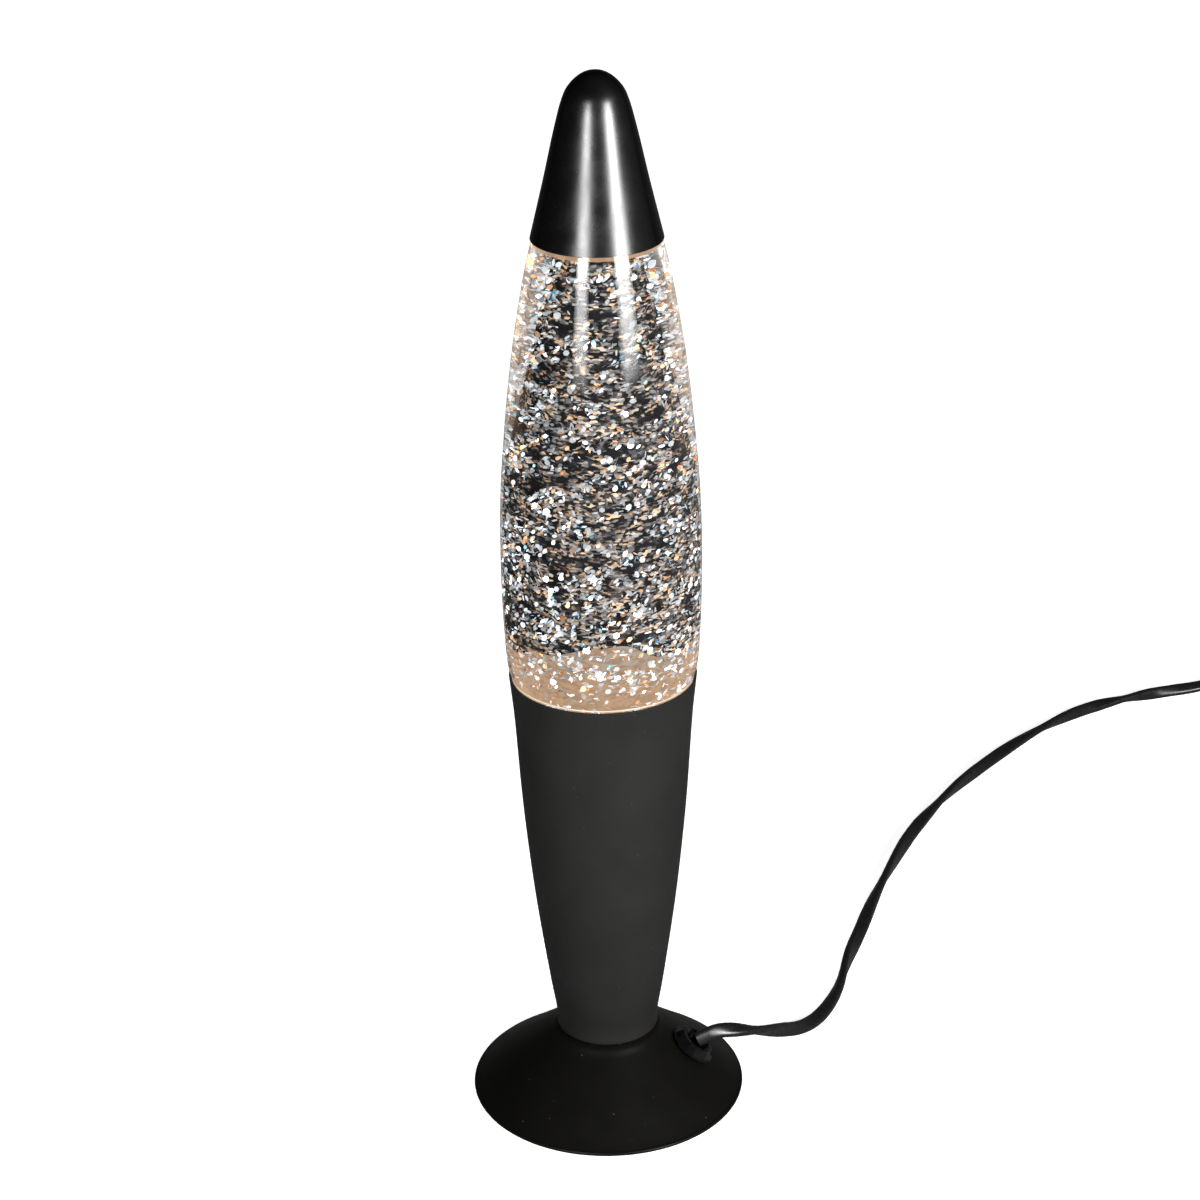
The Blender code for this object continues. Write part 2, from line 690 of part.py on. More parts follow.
def make_tie(tie_white):
    """Band round the coil's turns: a square loop in the plane of the coil's radius."""
    angle = math.radians(TIE_ANGLE)
    away = Vector((math.cos(angle), math.sin(angle)))
    data = bmesh.new()
    half = COIL_HALF_WIDTH + GAP
    middle = COIL_MIDDLE_RADIUS
    loops = []
    for grow in (0.0, TIE_THICKNESS):
        wide = half + grow
        corners = [(middle - wide, COIL_LOW - GAP - grow), (middle + wide, COIL_LOW - GAP - grow)]
        corners += [(middle + wide, COIL_HIGH + GAP + grow), (middle - wide, COIL_HIGH + GAP + grow)]
        for side in (-TIE_HALF_WIDTH, TIE_HALF_WIDTH):
            row = []
            for out, height in corners:
                flat = Vector(COIL_CENTRE) + away * out + Vector((-away.y, away.x)) * side
                row.append(data.verts.new(Vector((*flat, height)) * MM))
            loops.append(row)
    for first, second in ((0, 1), (1, 3), (3, 2), (2, 0)):
        for i in range(4):
            j = (i + 1) % 4
            data.faces.new((loops[first][i], loops[first][j], loops[second][j], loops[second][i]))
    place(data, "cord_tie", tie_white)


def make_switch(black, rocker_black, brass, steel, cord_black):
    seat = (*SWITCH_CENTRE, 0)
    bottom, top = make_switch_halves(black, seat)
    keep = cutter(prism("entry_keeper", box_outline(19, 4), 3.5, 11.5, black, location=seat))
    along = Matrix.Rotation(math.radians(90), 3, "Y")
    middle = (*SWITCH_CENTRE, SWITCH_ENTRY_Z)
    bore = [(0, -40), (3.2, -40), (3.2, 40), (0, 40)]
    entry = cutter(turned("cord_entries", bore, black, 16, location=middle, turn=along))
    shape_with(entry, keep, "DIFFERENCE")
    shape_with(bottom, entry, "DIFFERENCE")
    shape_with(top, entry, "DIFFERENCE")
    for n, (x, y) in enumerate(SCREW_PLACES):
        spot = (seat[0] + x, seat[1] + y, 0)
        shank = [(0, -1), (3.0, -1), (3.0, 1.3), (1.6, 1.3), (1.6, 13.4), (0, 13.4)]
        drill = cutter(turned(f"screw_hole_{n + 1}", shank, black, 16, location=spot))
        shape_with(bottom, drill, "DIFFERENCE")
        shape_with(top, drill, "DIFFERENCE")
        screw = [(0, 0.3), (2.6, 0.3), (2.6, 1.0), (1.25, 1.0), (1.25, 12.8), (0, 12.8)]
        turned(f"switch_screw_{n + 1}", screw, steel, 12, location=spot)
    make_rocker(rocker_black)
    for name, side in (("switch_contact_in", -1), ("switch_contact_out", 1)):
        blade = [(3.0, 2.8), (13.0, 2.8), (13.0, 3.4), (4.6, 3.4), (3.6, 6.4), (3.0, 6.4)]
        outline = [(x * side, z) for x, z in blade]
        prism(name, outline, 1.0, 5.0, brass, axis="Y", location=seat)
    through = [(seat[0] + x, seat[1] - 3.0, 4.4) for x in (-17.0, 0.0, 17.0)]
    tube("switch_through_wire", through, 1.1, cord_black)


def box_outline(half_length, half_width):
    return [
        (-half_length, -half_width),
        (half_length, -half_width),
        (half_length, half_width),
        (-half_length, half_width),
    ]


def make_switch_halves(black, seat):
    """The switch's two open shells, which meet at the height where the cord goes in."""
    length, width, corner, wall = SWITCH_LENGTH, SWITCH_WIDTH, SWITCH_CORNER, SWITCH_WALL
    low_edge = SWITCH_ENTRY_Z - GAP / 2
    high_edge = SWITCH_ENTRY_Z + GAP / 2
    room = (length - 2 * wall, width - 2 * wall, corner - wall)
    bottom_levels = [
        (length - 3, width - 3, corner - 1.5, 0.0),
        (length, width, corner, 1.5),
        (length, width, corner, low_edge),
    ]
    bottom_room = [(*room, low_edge), (*room, 2.4)]
    bottom = tray("switch_bottom", bottom_levels, bottom_room, black, location=seat)
    top_levels = [
        (length - 5, width - 5, corner - 2.5, SWITCH_HEIGHT),
        (length - 1.5, width - 1.5, corner - 0.75, 14.6),
        (length, width, corner, 12.6),
        (length, width, corner, high_edge),
    ]
    top_room = [
        (*room, high_edge),
        (*room, 12.2),
        (room[0] - 3, room[1] - 3, room[2] - 1.5, 14.2),
    ]
    top = tray("switch_top", top_levels, top_room, black, location=seat)
    supports = []
    for n, side in enumerate((-1, 1)):
        rib = [(-2.8, 5.9 * side), (2.8, 5.9 * side), (2.8, 7.6 * side), (-2.8, 7.6 * side)]
        supports.append(prism(f"pivot_rib_{n + 1}", rib, 10.2, 14.8, black, location=seat))
    for n, (x, y) in enumerate(SCREW_PLACES):
        spot = (seat[0] + x, seat[1] + y, 0)
        low = SWITCH_ENTRY_Z + 1.0
        boss = [(0, low), (3.0, low), (3.0, 14.8), (0, 14.8)]
        supports.append(turned(f"screw_boss_{n + 1}", boss, black, 16, location=spot))
    for support in supports:
        shape_with(top, cutter(support), "UNION")
    window = prism("rocker_window", box_outline(9.3, 5.6), 13.0, 18.0, black, location=seat)
    shape_with(top, cutter(window), "DIFFERENCE")
    across = Matrix.Rotation(math.radians(90), 3, "X")
    pin_hole = [(0, -9), (1.5, -9), (1.5, 9), (0, 9)]
    drill = turned("pivot_hole", pin_hole, black, 16, location=ROCKER_PIVOT, turn=across)
    shape_with(top, cutter(drill), "DIFFERENCE")
    return bottom, top


def make_rocker(rocker_black):
    """Rocker and its pin, tilted to where it rests, with its origin on the pin."""
    side_view = [(-7.8, 4.5), (-4.0, 3.5), (0.0, 3.2), (4.0, 3.5), (7.8, 4.5), (7.8, 1.2)]
    side_view += [(4.5, -1.4), (0.0, -3.2), (-4.5, -1.4), (-7.8, 1.2)]
    seat = {"location": ROCKER_PIVOT, "turn": Matrix.Rotation(math.radians(ROCKER_TILT), 3, "Y")}
    half = ROCKER_HALF_WIDTH
    rocker = prism("switch_rocker", side_view, -half, half, rocker_black, 0.5, "Y", **seat)
    across = Matrix.Rotation(math.radians(90), 3, "X")
    bar = [(0, -7.4), (1.2, -7.4), (1.2, 7.4), (0, 7.4)]
    pin = turned("rocker_pin", bar, rocker_black, 16, location=ROCKER_PIVOT, turn=across)
    shape_with(rocker, cutter(pin), "UNION")


def make_plug(black, steel):
    """Flat plug lying on the table: its body grows from the cord's width to the face with the pins."""
    sections = [(0, 8.6, 8.0), (6, 10.0, 9.4), (11, 13.0, 11.0), (20, 23.0, 13.2), (31, 26.0, 13.7)]
    sections.append((PLUG_LENGTH, 25.4, 13.2))
    count = 20
    squareness = 0.55
    data = bmesh.new()
    rings = []
    for x, width, thick in sections:
        row = []
        for i in range(count):
            angle = 2 * math.pi * i / count
            c, s = math.cos(angle), math.sin(angle)
            y = width / 2 * math.copysign(abs(c) ** squareness, c)
            z = thick / 2 * math.copysign(abs(s) ** squareness, s)
            row.append(data.verts.new(Vector((x, y, z)) * MM))
        rings.append(row)
    for low, high in zip(rings, rings[1:]):
        for i in range(count):
            j = (i + 1) % count
            data.faces.new((low[i], low[j], high[j], high[i]))
    data.faces.new(rings[0])
    data.faces.new(list(reversed(rings[-1])))
    start = (PLUG_START, PLUG_Y, PLUG_ENTRY_Z)
    place(data, "plug_body", black, location=start)
    along = Matrix.Rotation(math.radians(90), 3, "Y")
    round_tip = 0.9
    pin = [(0, 0), (PIN_RADIUS, 0), (PIN_RADIUS, PIN_LENGTH - round_tip)]
    pin += [(PIN_RADIUS - round_tip, PIN_LENGTH), (0, PIN_LENGTH)]
    for n, side in enumerate((-1, 1)):
        spot = (PLUG_START + PLUG_LENGTH + GAP, PLUG_Y + side * PIN_HALF_SPACING, PLUG_ENTRY_Z)
        turned(f"plug_pin_{n + 1}", pin, steel, 16, location=spot, turn=along)


def build():
    clear_scene()
    satin_black = look("satin_black", (0.012, 0.012, 0.011), 0.38, 0.3)
    matte_black = look("matte_black", (0.016, 0.016, 0.015), 0.6, 0.1)
    gloss_black = look("gloss_black", (0.01, 0.01, 0.01), 0.12)
    moulded_black = look("moulded_black", (0.014, 0.014, 0.014), 0.45)
    cord_black = look("cord_black", (0.012, 0.012, 0.012), 0.3)
    rubber = look("rubber", (0.02, 0.02, 0.02), 0.85)
    glass = look("clear_glass", (0.95, 0.97, 0.97), 0.03, alpha=0.3)
    liquid = look("glitter_liquid", (0.05, 0.05, 0.055), 0.1, alpha=0.8)
    tin = look("tinplate", (0.7, 0.69, 0.66), 0.3, 1.0)
    liner = look("liner_grey", (0.6, 0.6, 0.58), 0.6)
    steel = look("zinc_steel", (0.62, 0.62, 0.6), 0.3, 1.0)
    brass = look("brass", (0.75, 0.55, 0.25), 0.28, 1.0)
    ceramic = look("ceramic_white", (0.82, 0.8, 0.76), 0.4)
    bakelite = look("bakelite", (0.03, 0.02, 0.016), 0.35)
    solder = look("solder", (0.6, 0.6, 0.62), 0.35, 1.0)
    tungsten = look("tungsten", (0.3, 0.3, 0.32), 0.4, 1.0)
    bulb_glass = look("bulb_glass", (0.95, 0.9, 0.82), 0.1, alpha=0.5)
    blue = look("wire_blue", (0.03, 0.12, 0.5), 0.5)
    brown = look("wire_brown", (0.16, 0.07, 0.03), 0.5)
    tie_white = look("tie_white", (0.75, 0.75, 0.73), 0.5)

    make_foot(satin_black, moulded_black, rubber)
    make_gland(gloss_black, moulded_black)
    make_clamp(steel)
    make_cup(matte_black)
    make_bottle(glass, liquid, tin, liner)
    make_cap(satin_black)
    make_socket(bakelite, ceramic, brass, steel)
    make_bulb(bulb_glass, brass, solder, bakelite, tungsten)
    make_inner_wiring(cord_black, blue, brown)
    make_cord(cord_black, tie_white)
    make_switch(moulded_black, gloss_black, brass, steel, cord_black)
    make_plug(moulded_black, steel)


build()
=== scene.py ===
"""Looks of the glitter lamp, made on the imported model.

The lamp's own sizes and routes are in millimetres, and become metres where a mesh is made. Lights,
camera and floor are in metres.
"""

import json
import math

import bmesh
import bpy
import numpy as np
from mathutils import Matrix, Vector, noise
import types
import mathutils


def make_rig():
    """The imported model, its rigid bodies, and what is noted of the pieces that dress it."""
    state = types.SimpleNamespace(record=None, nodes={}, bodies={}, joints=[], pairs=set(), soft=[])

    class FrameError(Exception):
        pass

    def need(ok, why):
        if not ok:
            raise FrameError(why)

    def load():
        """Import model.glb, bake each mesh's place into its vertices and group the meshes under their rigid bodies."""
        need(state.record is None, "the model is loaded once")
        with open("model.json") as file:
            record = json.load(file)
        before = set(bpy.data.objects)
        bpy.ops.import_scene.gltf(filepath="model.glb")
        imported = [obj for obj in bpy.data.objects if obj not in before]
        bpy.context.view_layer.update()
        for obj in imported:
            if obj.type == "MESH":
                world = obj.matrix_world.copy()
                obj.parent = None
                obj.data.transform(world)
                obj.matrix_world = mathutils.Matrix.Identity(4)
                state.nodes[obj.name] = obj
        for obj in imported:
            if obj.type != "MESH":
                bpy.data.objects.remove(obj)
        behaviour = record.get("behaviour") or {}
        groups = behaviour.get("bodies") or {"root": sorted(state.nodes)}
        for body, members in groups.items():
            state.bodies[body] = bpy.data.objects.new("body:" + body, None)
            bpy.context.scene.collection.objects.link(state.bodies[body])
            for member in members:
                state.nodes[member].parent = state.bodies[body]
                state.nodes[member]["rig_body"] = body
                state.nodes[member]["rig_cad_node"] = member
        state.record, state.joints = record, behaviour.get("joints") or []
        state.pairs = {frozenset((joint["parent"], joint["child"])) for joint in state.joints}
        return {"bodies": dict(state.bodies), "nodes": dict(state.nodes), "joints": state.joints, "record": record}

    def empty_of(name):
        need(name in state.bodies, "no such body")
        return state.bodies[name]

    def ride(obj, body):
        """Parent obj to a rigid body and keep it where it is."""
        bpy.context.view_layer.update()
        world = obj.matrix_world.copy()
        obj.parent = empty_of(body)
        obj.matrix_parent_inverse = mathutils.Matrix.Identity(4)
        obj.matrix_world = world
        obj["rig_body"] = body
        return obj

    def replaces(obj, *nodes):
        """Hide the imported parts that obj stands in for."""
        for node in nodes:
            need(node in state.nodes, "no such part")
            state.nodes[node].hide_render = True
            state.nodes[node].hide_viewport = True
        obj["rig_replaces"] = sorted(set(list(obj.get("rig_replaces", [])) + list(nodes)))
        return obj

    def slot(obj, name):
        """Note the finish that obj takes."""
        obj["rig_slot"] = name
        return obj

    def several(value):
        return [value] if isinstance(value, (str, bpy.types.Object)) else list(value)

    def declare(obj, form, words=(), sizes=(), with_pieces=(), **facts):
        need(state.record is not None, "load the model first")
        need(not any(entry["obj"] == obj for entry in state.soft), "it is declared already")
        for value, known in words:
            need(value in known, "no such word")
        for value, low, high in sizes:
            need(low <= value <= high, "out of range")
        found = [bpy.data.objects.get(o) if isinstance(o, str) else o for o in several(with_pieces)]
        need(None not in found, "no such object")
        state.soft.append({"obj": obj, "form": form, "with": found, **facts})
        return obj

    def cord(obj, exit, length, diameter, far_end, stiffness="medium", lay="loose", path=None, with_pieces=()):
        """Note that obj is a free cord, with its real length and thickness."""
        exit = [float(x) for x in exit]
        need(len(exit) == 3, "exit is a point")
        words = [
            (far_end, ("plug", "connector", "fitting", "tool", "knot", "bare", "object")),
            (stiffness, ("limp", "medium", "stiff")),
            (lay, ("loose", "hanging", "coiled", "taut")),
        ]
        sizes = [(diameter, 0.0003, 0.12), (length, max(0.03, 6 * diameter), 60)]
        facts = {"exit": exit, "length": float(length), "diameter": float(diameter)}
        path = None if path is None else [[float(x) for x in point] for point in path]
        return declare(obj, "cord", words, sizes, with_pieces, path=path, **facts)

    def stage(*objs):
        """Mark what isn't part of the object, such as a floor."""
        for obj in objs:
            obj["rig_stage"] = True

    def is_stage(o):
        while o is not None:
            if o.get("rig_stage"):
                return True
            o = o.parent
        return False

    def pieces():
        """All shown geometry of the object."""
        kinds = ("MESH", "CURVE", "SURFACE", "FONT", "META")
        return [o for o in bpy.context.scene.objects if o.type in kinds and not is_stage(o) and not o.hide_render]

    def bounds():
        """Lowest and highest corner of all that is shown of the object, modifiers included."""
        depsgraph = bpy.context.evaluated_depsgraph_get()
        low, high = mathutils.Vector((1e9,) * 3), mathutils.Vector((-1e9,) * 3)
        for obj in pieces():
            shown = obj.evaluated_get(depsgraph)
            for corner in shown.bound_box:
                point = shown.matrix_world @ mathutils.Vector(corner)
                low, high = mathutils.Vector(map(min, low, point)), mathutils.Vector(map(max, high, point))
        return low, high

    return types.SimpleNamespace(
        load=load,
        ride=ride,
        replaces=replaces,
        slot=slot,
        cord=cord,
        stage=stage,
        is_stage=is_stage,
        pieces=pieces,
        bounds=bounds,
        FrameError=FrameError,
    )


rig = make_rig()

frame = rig.load()
cad_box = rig.bounds()

MM = 0.001
FINE = 192  # facets round a turned piece
SPAN = 8  # steps between neighbouring points of an outline
SMOOTH_ANGLE = 35.0  # degrees; edges sharper than this stay sharp
ON_AXIS = 1e-6  # a radius under this is on the axis

# Outer lines of the turned shells, as (radius, height); all but the cap's nose are the same as in CAD
FOOT_TOP = 29.5
CUP_FLOOR = 29.8
CUP_CORNER = (19.3, 30.7)  # centre of the round edge under the cup
CUP_CORNER_RADIUS = 0.9
BOTTLE_BASE = 149.0
CAP_RIM = 359.4
CAP_NOSE = 420.0
LIQUID_TOP = 374.0
FOOT_WALL = 1.0
CUP_WALL = 0.9
CAP_WALL = 0.8
GLASS_WALL = 2.2
PUNT_HEIGHT = 1.8
TUBE_HOLE = 5.3
FOOT_LINE = [
    (18.5, FOOT_TOP),
    (20.8, 28.4),
    (23.4, 25.9),
    (32.0, 19.3),
    (43.0, 11.0),
    (51.5, 4.3),
    (53.9, 2.5),
]
CUP_LINE = [
    (20.2, 30.7),
    (20.4, 36.0),
    (22.6, 50.0),
    (28.0, 90.0),
    (31.9, 130.0),
    (34.5, 170.0),
    (36.0, 185.4),
]
BOTTLE_LINE = [
    (31.0, 152.0),
    (33.1, 168.0),
    (34.9, 185.6),
    (36.3, 191.0),
    (37.4, 207.0),
    (37.9, 230.0),
    (37.4, 258.0),
    (35.8, 280.0),
    (31.2, 320.0),
    (23.5, 358.8),
]
NECK_LINE = [(20.4, 365.0), (15.2, 373.0), (13.0, 379.0), (12.9, 384.6)]
CAP_LINE = [
    (24.2, CAP_RIM),
    (19.2, 380.0),
    (14.6, 400.0),
    (12.1, 409.2),
    (10.2, 413.6),
    (6.7, 417.5),
    (3.2, 419.5),
    (0.0, CAP_NOSE),
]
FOOT_BEAD = (53.9, 1.7)
FOOT_BEAD_RADIUS = 0.9
RIM_BEAD = (35.65, 185.75)
RIM_BEAD_RADIUS = 0.45
LIP_BEAD = (12.0, 386.9)
LIP_BEAD_RADIUS = 1.5
CAP_EDGE = (23.8, CAP_RIM - 0.25)  # lowest edge of the cap's wall

# Gland, on the slope of the foot
GLAND_RADIUS_OUT = 34.0  # distance from the lamp's axis
GLAND_AZIMUTH = -5.0  # degrees, from +X
GLAND_FACETS = 16
GLAND_HOLE = 5.4
GLAND_REACH = 8.0  # half length of the cutter for its hole
CORD_START = 3.6  # height of the cord's end above the foot's surface
GLAND_LINE = [
    (3.0, -7.0),
    (5.0, -7.0),
    (5.0, 0.4),
    (9.3, 0.4),
    (9.55, 0.6),
    (9.6, 1.0),
    (9.3, 1.25),
    (8.9, 1.3),
    (7.3, 4.1),
    (7.0, 4.4),
    (5.7, 4.4),
    (5.4, 4.25),
    (3.2, 1.9),
    (3.0, 1.6),
]

# Cord
CORD_WIDTH = 6.0
CORD_THICKNESS = 3.7
CORD_LENGTH = 1.79  # metres, from the gland's mouth to the plug
CORD_STEP = 2.6  # distance between its rings of points
CORD_SIDES = 20
SIDE_POWER = 0.82  # under 1 these fill out the corners of its section
FACE_POWER = 0.62
TABLE_Z = 3.05  # height of its middle where it lies on the table, high enough to stand on edge
SWITCH_ENTRY_Z = 7.5
PLUG_ENTRY_Z = 6.9
RUN_ROUTE = [
    (44.0, -0.5, 23.0),
    (54.0, 3.5, 21.0),
    (63.0, 10.5, 16.0),
    (72.0, 19.5, 10.2),
    (80.0, 28.0, 5.6),
    (87.0, 37.0, 3.3),
    (93.0, 47.0, TABLE_Z),
    (99.0, 62.0, TABLE_Z),
    (105.0, 85.0, TABLE_Z),
    (113.0, 110.0, TABLE_Z),
    (122.0, 139.0, TABLE_Z),
    (132.0, 166.0, TABLE_Z),
    (144.0, 195.0, TABLE_Z),
    (156.0, 218.0, TABLE_Z),
    (169.0, 239.0, TABLE_Z),
    (186.0, 262.0, TABLE_Z),
    (204.0, 284.0, TABLE_Z),
    (222.0, 303.0, TABLE_Z),
    (240.0, 318.0, TABLE_Z),
    (257.0, 328.5, TABLE_Z),
    (274.0, 336.0, TABLE_Z),
    (291.0, 341.5, TABLE_Z),
    (307.0, 345.5, 3.4),
    (322.0, 348.0, 5.8),
    (337.0, 349.0, SWITCH_ENTRY_Z),
]
SWITCH_ROUTE = [
    (345.0, 349.0, 7.2),
    (355.0, 349.0, 5.6),
    (375.0, 349.0, 5.6),
    (385.0, 349.0, 7.2),
    (392.0, 349.0, SWITCH_ENTRY_Z),
]
LEAD_ROUTE = [
    (399.0, 349.0, SWITCH_ENTRY_Z),
    (408.0, 346.6, 6.5),
    (415.5, 340.5, 5.2),
    (420.0, 331.5, 4.3),
    (421.5, 320.0, 3.9),
    (419.5, 306.0, 3.8),
    (416.4, 291.0, 3.8),
    (412.5, 277.3, 3.8),
]
TAIL_ROUTE = [
    (361.0, 220.2, 3.8),
    (350.0, 217.5, 3.6),
    (340.5, 211.5, 3.6),
    (335.0, 202.5, 4.0),
    (333.8, 192.5, 4.6),
    (337.5, 182.5, 5.4),
    (345.5, 175.0, 6.3),
    (356.0, 172.0, PLUG_ENTRY_Z),
    (366.0, 172.0, PLUG_ENTRY_Z),
]
COIL_CENTRE = (372.0, 262.0)
COIL_OUTER_TURN = 37.4
COIL_INNER_TURN = 26.6
COIL_TURNS = 5.18
COIL_TURN_POINTS = 36
COIL_LOW = 3.1  # height of the lower layer's middle
COIL_LAYER = 6.0  # from the lower layer to the upper one
TIE_ANGLE = 100.0  # degrees round the coil
TIE_REACH = 26.0  # degrees to each side of the tie over which the cord draws together
TIE_LIFT = 0.55  # the tie passes under the lower layer
TIE_PRESS = 0.35  # the layers lie this much closer in the tie
TIE_SQUEEZE = 0.06  # share of its width that the cord loses in the tie
# Twist of the cord, as (distance from the gland, degrees by which its flat side is turned from level)
TWISTS = [
    (0.0, -75.0),
    (12.0, -50.0),
    (30.0, 30.0),
    (55.0, 120.0),
    (109.0, 255.0),
    (146.0, 340.0),
    (192.0, 425.0),
    (242.0, 510.0),
    (278.0, 600.0),
    (323.0, 675.0),
    (372.0, 760.0),
    (406.0, 845.0),
    (429.0, 930.0),
    (450.0, 1020.0),
    (485.0, 1080.0),
    (550.0, 1080.0),
    (640.0, 1170.0),
]
COIL_TWIST = 90.0
UNTWIST_LENGTH = 60.0  # the cord turns level again over this length past the coil


def between(a, b, t, low, high):
    """The point that lies at t where a is at low and b at high."""
    return a + (b - a) * ((t - low) / (high - low))


def smooth_line(points, per_span=SPAN):
    """Points on a centripetal Catmull-Rom curve, per_span steps between the given ones."""
    spots = [Vector(p) for p in points]
    ends = [2 * spots[0] - spots[1], *spots, 2 * spots[-1] - spots[-2]]
    line = []
    for before, start, stop, after in zip(ends, ends[1:], ends[2:], ends[3:]):
        k = [0.0]
        for a, b in ((before, start), (start, stop), (stop, after)):
            k.append(k[-1] + math.sqrt((b - a).length))
        for step in range(per_span):
            t = k[1] + (k[2] - k[1]) * step / per_span
            first = between(before, start, t, k[0], k[1])
            second = between(start, stop, t, k[1], k[2])
            third = between(stop, after, t, k[2], k[3])
            low = between(first, second, t, k[0], k[2])
            high = between(second, third, t, k[1], k[3])
            line.append(between(low, high, t, k[1], k[2]))
    line.append(spots[-1])
    return line


def offset_line(line, distance):
    """The line moved to the left of its own direction, which is inwards for one that climbs."""
    moved = []
    for i, spot in enumerate(line):
        along = (line[min(i + 1, len(line) - 1)] - line[max(i - 1, 0)]).normalized()
        moved.append(Vector((spot.x - along.y * distance, spot.y + along.x * distance)))
    return moved


def arc(centre, radius, start, stop, steps):
    """Points on an arc between two angles in degrees."""
    spots = []
    for i in range(steps + 1):
        angle = math.radians(start + (stop - start) * i / steps)
        spots.append((centre[0] + radius * math.cos(angle), centre[1] + radius * math.sin(angle)))
    return spots


def smooth_out(mesh, smooth_angle=SMOOTH_ANGLE):
    """Smooth shading, except at edges sharper than the angle in degrees."""
    mesh.shade_smooth()
    mesh.set_sharp_from_angle(angle=math.radians(smooth_angle))


def finish_mesh(data, name, materials, smooth_angle=SMOOTH_ANGLE):
    """Object from a finished bmesh."""
    mesh = bpy.data.meshes.new(name)
    data.to_mesh(mesh)
    data.free()
    smooth_out(mesh, smooth_angle)
    thing = bpy.data.objects.new(name, mesh)
    bpy.context.scene.collection.objects.link(thing)
    for material in materials:
        mesh.materials.append(material)
    return thing


def turned(name, outline, materials, facets=FINE, slot_of=None, matrix=None, smooth_angle=SMOOTH_ANGLE):
    """Piece spun from an outline in millimetres; slot_of gives the material of each outline step.

    An outline with both ends on the axis is open there, and any other is closed to a ring.
    """
    data = bmesh.new()
    closed = not (outline[0][0] < ON_AXIS and outline[-1][0] < ON_AXIS)
    rows = []
    for r, z in outline:
        if r < ON_AXIS:
            rows.append([data.verts.new((0.0, 0.0, z * MM))])
            continue
        row = []
        for i in range(facets):
            angle = 2 * math.pi * i / facets
            row.append(data.verts.new((r * MM * math.cos(angle), r * MM * math.sin(angle), z * MM)))
        rows.append(row)
    pairs = list(zip(rows, rows[1:]))
    if closed:
        pairs.append((rows[-1], rows[0]))
    for step, (low, high) in enumerate(pairs):
        for i in range(facets):
            j = (i + 1) % facets
            if len(low) == 1:
                corners = (low[0], high[j], high[i])
            elif len(high) == 1:
                corners = (low[i], low[j], high[0])
            else:
                corners = (low[i], low[j], high[j], high[i])
            face = data.faces.new(corners)
            if slot_of:
                face.material_index = slot_of(step)
    bmesh.ops.recalc_face_normals(data, faces=data.faces)
    if matrix is not None:
        data.transform(matrix)
    return finish_mesh(data, name, materials, smooth_angle)


def drilled(thing, cutter):
    """Cuts the cutter out of the thing for good, and removes the cutter."""
    change = thing.modifiers.new("cut", "BOOLEAN")
    change.operation = "DIFFERENCE"
    change.solver = "EXACT"
    change.object = cutter
    view = bpy.context.evaluated_depsgraph_get()
    mesh = bpy.data.meshes.new_from_object(thing.evaluated_get(view))
    thing.modifiers.clear()
    thing.data = mesh
    bpy.data.objects.remove(cutter, do_unlink=True)
    return thing


# ---------------------------------------------------------------- materials

SPECKS_APART = 2.6  # millimetres between dust specks, most of which are left out
DUST_COLOUR = (0.22, 0.21, 0.19)
MIX_FROM = 6  # sockets of a Mix node that mixes colours
MIX_TO = 7
MIX_RESULT = 2
DARK_LIQUID = (0.006, 0.006, 0.007)
GLIMMER_SIZE = 1.5  # millimetres


def new_material(name):
    made = bpy.data.materials.new(name)
    made.use_nodes = True
    tree = made.node_tree
    return made, tree, tree.nodes["Principled BSDF"]


def add(tree, kind, **values):
    """Node with its properties and inputs set by name."""
    node = tree.nodes.new(kind)
    for key, value in values.items():
        if hasattr(node, key):
            setattr(node, key, value)
        else:
            node.inputs[key.replace("_", " ").title()].default_value = value
    return node


def noise_node(tree, grain, detail=3.0, stretch=None):
    """Noise whose features are about grain millimetres across, in object space."""
    where = add(tree, "ShaderNodeTexCoord").outputs["Object"]
    if stretch:
        sized = add(tree, "ShaderNodeMapping")
        sized.inputs["Scale"].default_value = stretch
        tree.links.new(where, sized.inputs["Vector"])
        where = sized.outputs["Vector"]
    made = add(tree, "ShaderNodeTexNoise", scale=1.0 / (grain * MM), detail=detail)
    tree.links.new(where, made.inputs["Vector"])
    return made


def ramp(tree, source, stops):
    """Colour ramp from (place, colour) stops, where a colour may be one number."""
    node = add(tree, "ShaderNodeValToRGB")
    while len(node.color_ramp.elements) < len(stops):
        node.color_ramp.elements.new(0.5)
    for element, (place, colour) in zip(node.color_ramp.elements, stops):
        element.position = place
        if not hasattr(colour, "__len__"):
            colour = (colour, colour, colour)
        element.color = (*colour, 1.0)
    tree.links.new(source, node.inputs["Fac"])
    return node.outputs["Color"]


def bump(tree, shader, height, distance, below=None):
    """Relief that stands up by distance, in millimetres, on top of the relief below."""
    node = add(tree, "ShaderNodeBump", distance=distance * MM, strength=1.0)
    tree.links.new(height, node.inputs["Height"])
    if below is not None:
        tree.links.new(below, node.inputs["Normal"])
    tree.links.new(node.outputs["Normal"], shader.inputs["Normal"])
    return node.outputs["Normal"]


def product(tree, a, b):
    node = add(tree, "ShaderNodeMath", operation="MULTIPLY")
    tree.links.new(a, node.inputs[0])
    tree.links.new(b, node.inputs[1])
    return node.outputs[0]


def scaled(colour, factor):
    return tuple(min(1.0, c * factor) for c in colour)


def drifting_colour(tree, grain, detail, colour, vary):
    """Colour that drifts with a noise by the share vary of itself to each side."""
    stops = [(0.3, scaled(colour, 1 - vary)), (0.7, scaled(colour, 1 + vary))]
    return ramp(tree, noise_node(tree, grain, detail).outputs["Fac"], stops)


